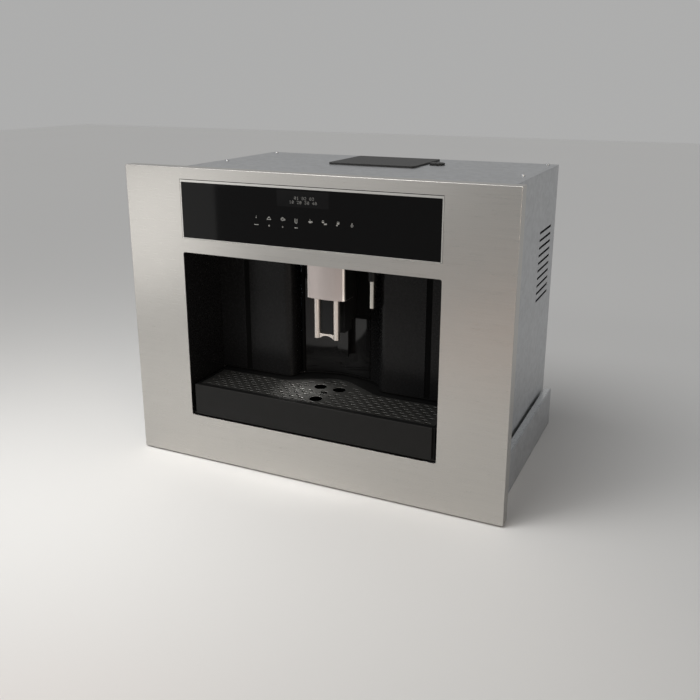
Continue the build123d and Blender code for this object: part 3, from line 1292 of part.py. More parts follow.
NODES = {
    "runner_frame": runner_frame(),
    "outer_rails": outer_rails(),
    "middle_rails": middle_rails(),
    "inner_rails": inner_rails(),
    "fascia_panel": fascia_panel(),
    "glass_bezel": glass_bezel(),
    "control_glass": control_glass(),
    "control_housing": control_housing(),
    "control_board": control_board(),
    "display_module": display_module(),
    "front_frame": front_frame(),
    "base_plate": base_plate(),
    "left_side_panel": mirrored(side_panel(True)),
    "right_side_panel": side_panel(False),
    "rear_panel": rear_panel(),
    "top_cover": top_cover(),
    "casing_screws": casing_screws(),
    "left_wall_liner": mirrored(wall_liner()),
    "right_wall_liner": wall_liner(),
    "niche_ceiling": niche_ceiling(),
    "left_rear_liner": mirrored(rear_liner(False)),
    "right_rear_liner": rear_liner(True),
    "light_bar": light_bar(),
    "cup_lights": cup_lights(),
    "deck_plate": deck_plate(),
    "tray_bay": tray_bay(),
    "service_door": service_door(),
    "door_pins": door_pins(),
    "spout_cover": spout_cover(),
    "spout_carrier": spout_carrier(),
    "coffee_pipes": coffee_pipes(),
    "nozzle_holder": nozzle_holder(),
    "hot_water_nozzle": hot_water_nozzle(),
    "tray_front": tray_front(),
    "drip_tray": drip_tray(),
    "drip_grid": drip_grid(),
    "level_float": level_float(),
    "grounds_container": grounds_container(),
    "water_tank": water_tank(),
    "tank_lid": tank_lid(),
    "tank_socket": tank_socket(),
    "bean_hopper": bean_hopper(),
    "hopper_lid": hopper_lid(),
    "grinder_body": grinder_body(),
    "upper_burr": upper_burr(),
    "lower_burr": lower_burr(),
    "grinder_motor": grinder_motor(),
    "grind_knob": grind_knob(),
    "brew_frame": brew_frame(),
    "brew_chamber": brew_chamber(),
    "lead_screw": lead_screw(),
    "brew_motor": brew_motor(),
    "thermoblock": thermoblock(),
    "water_pump": water_pump(),
    "pump_mounts": pump_mounts(),
    "flow_meter": flow_meter(),
    "water_hoses": supply_hoses() + heater_hoses(),
    "power_board": power_board(),
    "mains_inlet": mains_inlet(),
    "switch_rocker": switch_rocker(),
}

os.makedirs("parts", exist_ok=True)
for name, shape in NODES.items():
    if isinstance(shape, list):
        shape = Compound(children=shape)
    export_step(Pos(0, -SHELF_Y, 0) * shape, f"parts/{name}.step")
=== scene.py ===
"""Built-in coffee machine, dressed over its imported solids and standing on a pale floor.

Places are in metres in the part's own frame: X to the right, Y into the cabinet, Z up.
The fascia's face is the plane Y = FACE_Y.
"""

import logging
import math
from contextlib import contextmanager
from dataclasses import dataclass
from enum import Enum
from typing import Callable, Iterator, Sequence

import bpy
from mathutils import Matrix, Vector

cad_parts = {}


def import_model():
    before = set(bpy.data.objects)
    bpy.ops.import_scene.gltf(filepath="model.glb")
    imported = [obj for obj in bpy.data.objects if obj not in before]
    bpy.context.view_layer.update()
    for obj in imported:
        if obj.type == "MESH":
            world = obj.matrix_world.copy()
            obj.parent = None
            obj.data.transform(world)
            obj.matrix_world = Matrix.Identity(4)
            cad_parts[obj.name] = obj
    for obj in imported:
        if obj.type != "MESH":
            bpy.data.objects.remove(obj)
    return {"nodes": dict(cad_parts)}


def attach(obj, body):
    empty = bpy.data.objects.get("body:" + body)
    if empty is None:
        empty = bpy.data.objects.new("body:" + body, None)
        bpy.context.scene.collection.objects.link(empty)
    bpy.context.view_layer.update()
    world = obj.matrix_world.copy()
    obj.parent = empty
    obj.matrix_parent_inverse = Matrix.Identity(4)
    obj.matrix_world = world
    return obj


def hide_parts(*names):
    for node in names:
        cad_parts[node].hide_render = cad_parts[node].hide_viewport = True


MM = 0.001
FACE_Y = -0.2

log = logging.getLogger("coffee_machine")

Point = tuple[float, float, float]
Colour = tuple[float, float, float]
Piece = bpy.types.Object
Socket = bpy.types.NodeSocket
FaceTest = Callable[[bpy.types.MeshPolygon], bool]


class Axis(Enum):
    """The direction that a round piece runs along."""

    Y = (math.pi / 2, 0.0, 0.0)
    Z = (0.0, 0.0, 0.0)


class Grain(Enum):
    """Kinds of fine structure that a finish can carry."""

    BRUSHED = "brush_streaks"
    SPANGLE = "zinc_spangle"
    PEBBLE = "moulded_grain"


# ---------------------------------------------------------------- mesh work at the bench
class Bench:
    """Modelling steps that every sub-assembly uses."""

    WELD = 2e-6
    FLAT_ANGLE = math.radians(0.5)
    BEVEL_ANGLE = math.radians(40.0)
    BEVEL_STEPS = 2
    SMOOTH_ANGLE = math.radians(38.0)
    NORMAL_WEIGHT = 80
    nodes: dict[str, Piece] = {}

    @staticmethod
    def clear() -> None:
        """Leave edit mode and deselect everything."""
        if bpy.context.object and bpy.context.object.mode != "OBJECT":
            bpy.ops.object.mode_set(mode="OBJECT")
        for obj in bpy.context.selected_objects:
            obj.select_set(False)

    @staticmethod
    def hold(obj: Piece) -> None:
        """Make obj the only selected object and the active one."""
        Bench.clear()
        obj.select_set(True)
        bpy.context.view_layer.objects.active = obj

    @staticmethod
    @contextmanager
    def editing(obj: Piece, faces: FaceTest | None = None) -> Iterator[None]:
        """Edit obj with the chosen faces selected, or all of them.

        Args:
            obj: The mesh to edit.
            faces: Says which polygons are selected, by their place or normal.
        """
        Bench.hold(obj)
        mesh = obj.data
        chosen = [faces is None or bool(faces(p)) for p in mesh.polygons]
        mesh.vertices.foreach_set("select", [False] * len(mesh.vertices))
        mesh.edges.foreach_set("select", [False] * len(mesh.edges))
        bpy.ops.object.mode_set(mode="EDIT")
        bpy.ops.mesh.select_mode(type="FACE")
        bpy.ops.mesh.select_all(action="DESELECT")
        bpy.ops.object.mode_set(mode="OBJECT")
        mesh.polygons.foreach_set("select", chosen)
        bpy.ops.object.mode_set(mode="EDIT")
        try:
            yield
        finally:
            bpy.ops.object.mode_set(mode="OBJECT")

    @staticmethod
    def settle(obj: Piece, name: str) -> Piece:
        """Put obj's place into its mesh and name it.

        Args:
            obj: The object that was just added.
            name: The piece's name.

        Returns:
            The same object, at the origin.
        """
        Bench.hold(obj)
        bpy.ops.object.transform_apply(location=True, rotation=True, scale=True)
        obj.name = name
        obj.data.name = name
        return obj

    @staticmethod
    def block(name: str, low: Point, high: Point) -> Piece:
        """A block between two corners, to be shaped further.

        Args:
            name: The piece's name.
            low: Lowest corner.
            high: Highest corner.

        Returns:
            The new object.
        """
        Bench.clear()
        centre = [(a + b) / 2 for a, b in zip(low, high)]
        bpy.ops.mesh.primitive_cube_add(size=1, location=centre)
        obj = bpy.context.object
        obj.scale = [b - a for a, b in zip(low, high)]
        return Bench.settle(obj, name)

    @staticmethod
    def drum(name: str, centre: Point, radius: float, length: float, axis: Axis, sides: int) -> Piece:
        """A round blank, to be shaped further.

        Args:
            name: The piece's name.
            centre: Its middle.
            radius: Its radius.
            length: Its length along the axis.
            axis: The direction that it runs along.
            sides: How many flats make the round.

        Returns:
            The new object.
        """
        Bench.clear()
        bpy.ops.mesh.primitive_cylinder_add(
            vertices=sides, radius=radius, depth=length, location=centre, rotation=axis.value
        )
        return Bench.settle(bpy.context.object, name)

    @staticmethod
    def traced(node: str, name: str) -> Piece:
        """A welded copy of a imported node, its flat triangles joined, to be softened or given more detail.

        Args:
            node: The node's name.
            name: The new piece's name.

        Returns:
            The new object.
        """
        mesh = Bench.nodes[node].data.copy()
        obj = bpy.data.objects.new(name, mesh)
        mesh.name = name
        bpy.context.scene.collection.objects.link(obj)
        with Bench.editing(obj):
            bpy.ops.mesh.remove_doubles(threshold=Bench.WELD)
            bpy.ops.mesh.dissolve_limited(angle_limit=Bench.FLAT_ANGLE)
        mesh.materials.clear()
        return obj

    @staticmethod
    def modify(obj: Piece, kind: str, **values: object) -> None:
        """Add a modifier and apply it.

        Args:
            obj: The piece.
            kind: The modifier's type.
            values: Its settings.
        """
        Bench.hold(obj)
        made = obj.modifiers.new("step", kind)
        for key, value in values.items():
            setattr(made, key, value)
        bpy.ops.object.modifier_apply(modifier=made.name)

    @staticmethod
    def soften(obj: Piece, width: float, clamp: bool = True) -> Piece:
        """Break the sharp edges of obj, and keep its flat faces flat in their shading.

        Args:
            obj: The piece.
            width: The bevel's width.
            clamp: Whether the bevel narrows where edges lie close together.

        Returns:
            The same object.
        """
        Bench.modify(obj, "BEVEL", width=width, segments=Bench.BEVEL_STEPS, limit_method="ANGLE",
                     angle_limit=Bench.BEVEL_ANGLE, use_clamp_overlap=clamp)
        return Bench.polish(obj)

    @staticmethod
    def polish(obj: Piece) -> Piece:
        """Shade obj smoothly across its soft edges.

        Args:
            obj: The piece.

        Returns:
            The same object.
        """
        Bench.hold(obj)
        bpy.ops.object.shade_smooth_by_angle(angle=Bench.SMOOTH_ANGLE)
        Bench.modify(obj, "WEIGHTED_NORMAL", keep_sharp=True, weight=Bench.NORMAL_WEIGHT)
        return obj

    @staticmethod
    def joined(name: str, parts: Sequence[Piece]) -> Piece:
        """Join several meshes into one piece.

        Args:
            name: The joined piece's name.
            parts: The meshes.

        Returns:
            The joined object.
        """
        Bench.clear()
        for part in parts:
            part.select_set(True)
        bpy.context.view_layer.objects.active = parts[0]
        bpy.ops.object.join()
        obj = bpy.context.object
        obj.name = name
        obj.data.name = name
        return obj

    @staticmethod
    def copies(blank: Piece, moves: Sequence[Matrix]) -> list[Piece]:
        """Moved copies of a blank, each with its own mesh. The blank itself is taken away.

        Args:
            blank: The piece that is repeated.
            moves: How each copy is moved.

        Returns:
            The copies.
        """
        made = []
        for move in moves:
            twin = blank.copy()
            twin.data = blank.data.copy()
            twin.data.transform(move)
            bpy.context.scene.collection.objects.link(twin)
            made.append(twin)
        bpy.data.objects.remove(blank)
        return made

    @staticmethod
    def dress(obj: Piece, *finishes: "Finish") -> None:
        """Give obj these finishes and no others."""
        obj.data.materials.clear()
        for finish in finishes:
            obj.data.materials.append(finish.material())

    @staticmethod
    def deliver(obj: Piece, body: str, finish: "Finish", stands_for: Sequence[str] = ()) -> Piece:
        """Dress a finished piece and fix it to the body that carries it.

        Args:
            obj: The finished piece.
            body: The body that it rides on.
            finish: Its finish.
            stands_for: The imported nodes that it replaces.

        Returns:
            The same object.
        """
        Bench.dress(obj, finish)
        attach(obj, body)
        for node in stands_for:
            Bench.dress(Bench.nodes[node], finish)
        if stands_for:
            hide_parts(*stands_for)
        log.info("%s: %d faces on %s", obj.name, len(obj.data.polygons), body)
        return obj


# ---------------------------------------------------------------- finishes
class Graph:
    """Short ways to add and join the nodes of a material or a node group."""

    def __init__(self, tree: bpy.types.NodeTree) -> None:
        """Keep the tree that nodes are added to."""
        self.tree = tree

    def node(self, kind: str, **values: object) -> bpy.types.Node:
        """Add a node.

        Args:
            kind: The node's type without the ShaderNode prefix.
            values: Its settings.

        Returns:
            The new node.
        """
        made = self.tree.nodes.new("ShaderNode" + kind)
        for key, value in values.items():
            setattr(made, key, value)
        return made

    def link(self, source: Socket, target: Socket) -> None:
        """Join two sockets."""
        self.tree.links.new(source, target)

    def feed(self, socket: Socket, value: object) -> None:
        """Set a socket, or link it if the value is itself a socket."""
        if isinstance(value, Socket):
            self.link(value, socket)
        else:
            socket.default_value = value

    def math(self, step: str, a: object, b: object = 0.0, c: object = 0.0) -> Socket:
        """A Math node.

        Args:
            step: The operation.
            a: First value or socket.
            b: Second value or socket.
            c: Third value or socket.

        Returns:
            Its output.
        """
        made = self.node("Math", operation=step)
        for socket, value in zip(made.inputs, (a, b, c)):
            self.feed(socket, value)
        return made.outputs[0]

    def noise(self, vector: Socket, scale: object, detail: float = 2.0, rough: float = 0.5) -> Socket:
        """A Noise Texture.

        Args:
            vector: Where it is read.
            scale: Its scale.
            detail: Its detail.
            rough: Its roughness.

        Returns:
            Its value.
        """
        made = self.node("TexNoise")
        self.link(vector, made.inputs["Vector"])
        self.feed(made.inputs["Scale"], scale)
        made.inputs["Detail"].default_value = detail
        made.inputs["Roughness"].default_value = rough
        return made.outputs["Fac"]

    def mixed(self, share: object, first: object, second: object) -> Socket:
        """A colour between two others.

        Args:
            share: How much of the second colour.
            first: First colour.
            second: Second colour.

        Returns:
            The mixed colour.
        """
        made = self.node("Mix", data_type="RGBA")
        self.feed(made.inputs["Factor"], share)
        self.feed(made.inputs[6], first if isinstance(first, Socket) else (*first, 1.0))
        self.feed(made.inputs[7], second if isinstance(second, Socket) else (*second, 1.0))
        return made.outputs[2]


class Effects:
    """Node groups that several finishes share, each built once."""

    MAIN_SHARE = 0.6
    FINE_STREAKS = 4.3
    CLOUD_OVER_FLAKES = 0.2
    CLOUD_OVER_GRAIN = 0.03

    @staticmethod
    def group(grain: Grain, build: Callable[..., tuple]) -> bpy.types.NodeTree:
        """Make the node group of a grain, or find it if it is there.

        Args:
            grain: The kind of grain.
            build: Turns a graph, a place and a scale into the sockets for the height and the shade.

        Returns:
            The group.
        """
        found = bpy.data.node_groups.get(grain.value)
        if found:
            return found
        tree = bpy.data.node_groups.new(grain.value, "ShaderNodeTree")
        tree.interface.new_socket("Vector", in_out="INPUT", socket_type="NodeSocketVector")
        tree.interface.new_socket("Scale", in_out="INPUT", socket_type="NodeSocketFloat").default_value = 1.0
        for key in ("Height", "Shade"):
            tree.interface.new_socket(key, in_out="OUTPUT", socket_type="NodeSocketFloat")
        start = tree.nodes.new("NodeGroupInput")
        end = tree.nodes.new("NodeGroupOutput")
        for n, socket in enumerate(build(Graph(tree), start.outputs["Vector"], start.outputs["Scale"])):
            tree.links.new(socket, end.inputs[n])
        return tree

    @staticmethod
    def blended(graph: Graph, main: Socket, other: Socket) -> Socket:
        """A value made of the main share of one socket and the rest of another."""
        rest = graph.math("MULTIPLY", other, 1 - Effects.MAIN_SHARE)
        return graph.math("MULTIPLY_ADD", main, Effects.MAIN_SHARE, rest)

    @staticmethod
    def brush_streaks() -> bpy.types.NodeTree:
        """Fine scratches along one direction, finer and coarser ones together."""

        def build(graph: Graph, place: Socket, scale: Socket) -> tuple:
            """Lay finer scratches over wide ones."""
            wide = graph.noise(place, scale, 3.0, 0.6)
            fine = graph.noise(place, graph.math("MULTIPLY", scale, Effects.FINE_STREAKS), 2.0, 0.7)
            return Effects.blended(graph, fine, wide), wide

        return Effects.group(Grain.BRUSHED, build)

    @staticmethod
    def zinc_spangle() -> bpy.types.NodeTree:
        """Flakes of slightly different grey, as on zinc coated sheet."""

        def build(graph: Graph, place: Socket, scale: Socket) -> tuple:
            """Read a cell pattern for the flakes and a noise for the cloudiness."""
            cells = graph.node("TexVoronoi", feature="F1")
            graph.link(place, cells.inputs["Vector"])
            graph.link(scale, cells.inputs["Scale"])
            grey = graph.node("RGBToBW")
            graph.link(cells.outputs["Color"], grey.inputs[0])
            cloud = graph.noise(place, graph.math("MULTIPLY", scale, Effects.CLOUD_OVER_FLAKES), 3.0)
            return cloud, Effects.blended(graph, grey.outputs[0], cloud)

        return Effects.group(Grain.SPANGLE, build)

    @staticmethod
    def moulded_grain() -> bpy.types.NodeTree:
        """A fine pebbled texture with slow cloudiness under it."""

        def build(graph: Graph, place: Socket, scale: Socket) -> tuple:
            """Read one fine and one slow noise."""
            fine = graph.noise(place, scale, 2.0, 0.6)
            slow = graph.noise(place, graph.math("MULTIPLY", scale, Effects.CLOUD_OVER_GRAIN), 3.0, 0.6)
            return fine, slow

        return Effects.group(Grain.PEBBLE, build)


@dataclass(frozen=True)
class Finish:
    """A surface with a fine structure that moves its colour, gloss and relief."""

    name: str
    colour: Colour
    roughness: float
    metallic: float = 0.0
    specular: float = 0.5
    grain: Grain = Grain.PEBBLE
    scale: float = 900.0
    stretch: Point = (1.0, 1.0, 1.0)
    shade_depth: float = 0.12
    gloss_depth: float = 0.08
    relief: float = 0.04
    relief_size: float = 0.0002
    coat: float = 0.0
    coat_rough: float = 0.06
    clear: float = 0.0
    glow: float = 0.0

    def material(self) -> bpy.types.Material:
        """The finish as a material, built once.

        Returns:
            The material.
        """
        found = bpy.data.materials.get(self.name)
        if found:
            return found
        made = bpy.data.materials.new(self.name)
        made.use_nodes = True
        graph = Graph(made.node_tree)
        shader = made.node_tree.nodes["Principled BSDF"]
        place = graph.node("TexCoord")
        spread = graph.node("Mapping")
        spread.inputs["Scale"].default_value = self.stretch
        graph.link(place.outputs["Object"], spread.inputs["Vector"])
        fine = graph.node("Group")
        fine.node_tree = getattr(Effects, self.grain.value)()
        graph.link(spread.outputs[0], fine.inputs["Vector"])
        fine.inputs["Scale"].default_value = self.scale
        shade = fine.outputs["Shade"]
        dark = tuple(c * (1 - self.shade_depth) for c in self.colour)
        pale = tuple(min(1.0, c * (1 + self.shade_depth)) for c in self.colour)
        tone = graph.mixed(shade, dark, pale)
        graph.link(tone, shader.inputs["Base Color"])
        swing = graph.math("SUBTRACT", fine.outputs["Height"], 0.5)
        gloss = graph.math("MULTIPLY_ADD", swing, 2 * self.gloss_depth, self.roughness)
        graph.link(gloss, shader.inputs["Roughness"])
        bump = graph.node("Bump")
        bump.inputs["Strength"].default_value = self.relief
        bump.inputs["Distance"].default_value = self.relief_size
        graph.link(fine.outputs["Height"], bump.inputs["Height"])
        graph.link(bump.outputs["Normal"], shader.inputs["Normal"])
        shader.inputs["Metallic"].default_value = self.metallic
        shader.inputs["Specular IOR Level"].default_value = self.specular
        shader.inputs["Coat Weight"].default_value = self.coat
        shader.inputs["Coat Roughness"].default_value = self.coat_rough
        shader.inputs["Transmission Weight"].default_value = self.clear
        if self.glow:
            graph.link(tone, shader.inputs["Emission Color"])
            shader.inputs["Emission Strength"].default_value = self.glow
        return made


def brushed(name: str, colour: Colour, roughness: float, stretch: Point, metallic: float = 1.0,
            **more: float) -> Finish:
    """A steel finish whose fine scratches are finer or longer along each axis, as stretch says."""
    return Finish(name, colour, roughness, metallic, grain=Grain.BRUSHED, scale=1.0, stretch=stretch, **more)


class Finishes:
    """Every finish on the machine."""

    FASCIA = brushed("brushed_steel_fascia", (0.53, 0.515, 0.49), 0.30, (9.0, 700.0, 700.0),
                     shade_depth=0.07, gloss_depth=0.12, relief=0.10)
    SPOUT = brushed("satin_steel_spout", (0.56, 0.50, 0.48), 0.40, (900.0, 900.0, 14.0), shade_depth=0.05)
    # Near-white steel that paints the highlight which the spout head's rounded front edges catch.
    SPOUT_EDGE_HIGHLIGHT = brushed("spout_edge_painted_highlight", (0.97, 0.93, 0.89), 0.42, (500.0, 500.0, 20.0), 0.7,
                        shade_depth=0.03, gloss_depth=0.05, relief=0.03)
    TUBE = brushed("polished_steel_tube", (0.76, 0.70, 0.65), 0.34, (500.0, 500.0, 20.0),
                   shade_depth=0.04, gloss_depth=0.05, relief=0.03)
    BEZEL = brushed("polished_steel_edge", (0.63, 0.62, 0.595), 0.32, (12.0, 700.0, 700.0),
                    shade_depth=0.05, gloss_depth=0.06, relief=0.05)
    ZINC = Finish("zinc_coated_sheet", (0.50, 0.51, 0.525), 0.38, 1.0, grain=Grain.SPANGLE, scale=140.0,
                  shade_depth=0.16, gloss_depth=0.12, relief=0.05, relief_size=0.0004)
    BRIGHT_ZINC = Finish("bright_zinc_fastener", (0.62, 0.63, 0.64), 0.28, 1.0, grain=Grain.SPANGLE,
                         scale=500.0, shade_depth=0.08, relief=0.03)
    GLASS = Finish("black_backed_glass", (0.0035, 0.0035, 0.0037), 0.05, 0.0, 0.10, scale=40.0,
                   shade_depth=0.2, gloss_depth=0.02, relief=0.004)
    GLOSS_BLACK = Finish("gloss_black_moulding", (0.0075, 0.0075, 0.0079), 0.27, 0.0, 0.17, scale=260.0,
                         shade_depth=0.2, gloss_depth=0.05, relief=0.006)
    DOOR = Finish("polished_black_door", (0.0065, 0.0065, 0.0068), 0.09, 0.0, 0.38, scale=260.0,
                  shade_depth=0.2, gloss_depth=0.03, relief=0.003)
    # Deep black that paints shade: in the rear wall grooves, in the line over the bezel and on the door's
    # hinge barrel.
    PAINTED_SHADE = Finish("painted_shade_black", (0.0022, 0.0022, 0.0022), 0.70, 0.0, 0.06, scale=1500.0,
                    shade_depth=0.2, gloss_depth=0.1, relief=0.1)
    FLOAT = Finish("deep_black_float", (0.0015, 0.0015, 0.0015), 0.70, 0.0, 0.03, scale=1700.0,
                   shade_depth=0.15, gloss_depth=0.1, relief=0.12)
    MATT_BLACK = Finish("matt_black_moulding", (0.017, 0.017, 0.0165), 0.48, 0.0, 0.34, scale=1700.0,
                        shade_depth=0.15, gloss_depth=0.12, relief=0.16)
    GRID = brushed("dark_steel_grid", (0.026, 0.026, 0.025), 0.34, (30.0, 500.0, 500.0), 0.2,
                   specular=0.36, shade_depth=0.15, gloss_depth=0.12, relief=0.06)
    GREY_MOULDING = Finish("grey_moulding", (0.16, 0.165, 0.17), 0.46, scale=1500.0,
                           shade_depth=0.08, relief=0.12)
    RUBBER = Finish("black_rubber", (0.02, 0.02, 0.02), 0.72, specular=0.3, scale=1300.0,
                    shade_depth=0.2, relief=0.25)
    SILICONE = Finish("milky_silicone", (0.62, 0.62, 0.58), 0.42, scale=600.0,
                      shade_depth=0.06, relief=0.05, coat=0.1)
    SMOKED = Finish("smoked_clear_moulding", (0.30, 0.27, 0.24), 0.10, scale=300.0, shade_depth=0.06,
                    gloss_depth=0.04, relief=0.02, clear=0.85)
    CLEAR = Finish("clear_grey_moulding", (0.74, 0.80, 0.84), 0.08, scale=300.0, shade_depth=0.05,
                   gloss_depth=0.04, relief=0.02, clear=0.88)
    LENS = Finish("frosted_lens", (0.85, 0.85, 0.80), 0.35, scale=1200.0,
                  shade_depth=0.05, relief=0.2, clear=0.3)
    CAST = Finish("die_cast_aluminium", (0.55, 0.555, 0.56), 0.50, 1.0, scale=1100.0,
                  shade_depth=0.10, relief=0.3)
    BURR = brushed("hardened_steel", (0.36, 0.36, 0.37), 0.34, (400.0, 400.0, 400.0), relief=0.12)
    MOTOR = Finish("painted_motor_can", (0.045, 0.048, 0.055), 0.42, scale=800.0, relief=0.1)
    BOARD = Finish("green_circuit_board", (0.012, 0.085, 0.035), 0.36, scale=420.0,
                   shade_depth=0.35, relief=0.12, coat=0.3)
    RED = Finish("red_moulding", (0.34, 0.016, 0.012), 0.30, scale=1200.0, shade_depth=0.08, relief=0.08)
    MARKS = Finish("pale_touch_mark", (0.28, 0.28, 0.27), 0.5, scale=2000.0,
                   shade_depth=0.05, relief=0.02, glow=0.06)
    DIGITS = Finish("display_dots", (0.18, 0.18, 0.175), 0.5, scale=2000.0,
                    shade_depth=0.05, relief=0.02, glow=0.04)
    PRINT = Finish("black_print", (0.02, 0.02, 0.02), 0.5, scale=2000.0, shade_depth=0.1, relief=0.02)
    CARRIER = Finish("satin_black_carrier", (0.006, 0.0062, 0.0066), 0.36, 0.0, 0.20, scale=1700.0,
                     shade_depth=0.2, gloss_depth=0.1, relief=0.08)
    NOZZLE = brushed("satin_steel_nozzle", (0.60, 0.585, 0.545), 0.24, (500.0, 500.0, 20.0),
                     shade_depth=0.05, gloss_depth=0.05, relief=0.03)
    TRAY_FRONT = Finish("matt_dark_front", (0.0105, 0.0105, 0.0103), 0.52, 0.0, 0.16, scale=1900.0,
                        gloss_depth=0.1, relief=0.14)
    TRAY = Finish("dark_tray_moulding", (0.005, 0.005, 0.005), 0.45, 0.0, 0.12, scale=1700.0,
                  shade_depth=0.15, gloss_depth=0.1, relief=0.12)
    # A brighter steel on the grid's slot rims: a painted highlight of the glints that they catch.
    SLOT_EDGE_HIGHLIGHT = brushed("slot_rim_painted_highlight", (0.055, 0.055, 0.053), 0.38, (300.0, 300.0, 300.0), 0.25,
                  shade_depth=0.2, gloss_depth=0.1, relief=0.03)
    WINDOW = Finish("display_window", (0.006, 0.006, 0.0064), 0.12, 0.0, 0.11, scale=60.0,
                    shade_depth=0.15, relief=0.004)


SHOWN_AS_PACKED = {"door_pins": Finishes.BRIGHT_ZINC, "water_hoses": Finishes.SILICONE}


# ---------------------------------------------------------------- studio
@dataclass(frozen=True)
class Lamp:
    """A soft rectangular lamp."""

    name: str
    place: Point
    target: Point
    size: tuple[float, float]
    power: float
    spread: float
    colour: Colour

    def hang(self) -> None:
        """Add the lamp to the scene."""
        light = bpy.data.lights.new(self.name, "AREA")
        light.shape = "RECTANGLE"
        light.size, light.size_y = self.size
        light.energy = self.power
        light.spread = math.radians(self.spread)
        light.color = self.colour
        Studio.aim(light, self.place, self.target)


@dataclass
class Studio:
    """Floor, soft light and the camera."""

    eye: Point = (0.52086, -1.16164, 0.58186)
    sight: Point = (-0.4069, 0.8702, -0.2778)
    across: Point = (0.9058, 0.4237, 0.0008)
    lens: float = 41.752
    drop: float = -0.0550
    sensor: float = 36.0
    far: float = 50.0
    floor_size: float = 14.0
    floor_gap: float = 0.0004
    floor_colour: Colour = (0.74, 0.74, 0.735)
    floor_cloud: float = 0.8
    floor_shade: float = 0.98
    floor_rough: float = 0.8
    floor_specular: float = 0.2
    around: Colour = (0.80, 0.80, 0.80)
    dim: float = 0.28
    backdrop: Colour = (0.42, 0.42, 0.417)
    sky_from: Point = (-0.9, -0.9, 2.2)
    sky_power: float = 1.1
    sky_angle: float = 40.0
    sky_colour: Colour = (1.0, 0.99, 0.975)
    lamps: tuple[Lamp, ...] = (
        Lamp("left", (-0.895, -0.98, 0.21), (-0.26, -0.2, 0.33), (0.36, 0.38), 0.215, 120.0,
             (1.0, 0.985, 0.96)),
        Lamp("strip", (-0.35, -0.98, 0.375), (0.05, -0.2, 0.447), (0.58, 0.08), 0.055, 120.0,
             (1.0, 0.99, 0.975)),
        Lamp("near", (-0.4, -0.7, 0.9), (-0.35, -0.3, 0.0), (0.7, 0.3), 2.4, 110.0,
             (1.0, 0.98, 0.95)),
        Lamp("warm", (0.2, -1.15, 0.5), (0.15, -1.1, 0.0), (0.3, 0.6), 0.3, 80.0,
             (1.0, 0.50, 0.26)),
        Lamp("right", (0.95, -1.10, 0.45), (-0.05, -0.15, 0.25), (0.4, 0.4), 0.5, 60.0,
             (1.0, 0.84, 0.68)),
        Lamp("left_cup", (-0.06, -0.18, 0.333), (-0.034, -0.148, 0.123), (0.012, 0.012), 0.045, 28.0,
             (1.0, 0.98, 0.95)),
        Lamp("right_cup", (0.06, -0.18, 0.333), (0.0, -0.14, 0.12), (0.012, 0.012), 0.03, 60.0,
             (1.0, 0.97, 0.92)),
    )

    @staticmethod
    def aim(light: bpy.types.Light, place: Point, target: Point) -> None:
        """Hang a light at a place and turn it to its target.

        Args:
            light: The light's data.
            place: Where it hangs.
            target: What it points at.
        """
        lamp = bpy.data.objects.new(light.name, light)
        lamp.location = place
        lamp.rotation_mode = "QUATERNION"
        lamp.rotation_quaternion = (Vector(target) - Vector(place)).to_track_quat("-Z", "Y")
        lamp.visible_camera = False
        bpy.context.scene.collection.objects.link(lamp)

    def sky(self) -> None:
        """Hang the wide soft light that comes from one side of the room."""
        light = bpy.data.lights.new("sky", "SUN")
        light.energy = self.sky_power
        light.angle = math.radians(self.sky_angle)
        light.color = self.sky_colour
        Studio.aim(light, self.sky_from, (0, 0, 0))

    def floor(self) -> None:
        """Lay a plain pale floor, a hair under the machine."""
        Bench.clear()
        bpy.ops.mesh.primitive_plane_add(size=self.floor_size, location=(0, 0, -self.floor_gap))
        plane = Bench.settle(bpy.context.object, "floor")
        made = bpy.data.materials.new("pale_floor")
        made.use_nodes = True
        graph = Graph(made.node_tree)
        shader = made.node_tree.nodes["Principled BSDF"]
        place = graph.node("TexCoord")
        cloud = graph.noise(place.outputs["Object"], self.floor_cloud)
        darker = tuple(c * self.floor_shade for c in self.floor_colour)
        tone = graph.mixed(cloud, darker, self.floor_colour)
        graph.link(tone, shader.inputs["Base Color"])
        shader.inputs["Roughness"].default_value = self.floor_rough
        shader.inputs["Specular IOR Level"].default_value = self.floor_specular
        plane.data.materials.append(made)

    def world(self) -> None:
        """Even surroundings, and a plain backdrop for the camera, for metal and for glass."""
        world = bpy.data.worlds.new("surroundings")
        world.use_nodes = True
        bpy.context.scene.world = world
        graph = Graph(world.node_tree)
        around = world.node_tree.nodes["Background"]
        around.inputs["Color"].default_value = (*self.around, 1)
        around.inputs["Strength"].default_value = self.dim
        behind = graph.node("Background")
        behind.inputs["Color"].default_value = (*self.backdrop, 1)
        rays = graph.node("LightPath").outputs
        seen = graph.math("MAXIMUM", rays["Is Camera Ray"], rays["Is Glossy Ray"])
        choice = graph.node("MixShader")
        graph.link(graph.math("MAXIMUM", seen, rays["Is Transmission Ray"]), choice.inputs[0])
        graph.link(around.outputs[0], choice.inputs[1])
        graph.link(behind.outputs[0], choice.inputs[2])
        graph.link(choice.outputs[0], world.node_tree.nodes["World Output"].inputs["Surface"])

    def camera(self) -> None:
        """Place the camera where the photograph was taken from."""
        data = bpy.data.cameras.new("camera")
        data.lens = self.lens
        data.sensor_width = self.sensor
        data.shift_y = self.drop
        data.clip_end = self.far
        cam = bpy.data.objects.new("camera", data)
        back = -Vector(self.sight).normalized()
        side = (Vector(self.across) - back * back.dot(Vector(self.across))).normalized()
        up = back.cross(side)
        turn = Matrix((side, up, back)).transposed()
        cam.matrix_world = Matrix.Translation(self.eye) @ turn.to_4x4()
        bpy.context.scene.collection.objects.link(cam)
        bpy.context.scene.camera = cam

    def build(self) -> None:
        """Set up everything round the machine."""
        self.camera()
        self.floor()
        self.world()
        self.sky()
        for lamp in self.lamps:
            lamp.hang()
        bpy.context.scene.view_settings.view_transform = "Standard"
        log.info("studio ready")


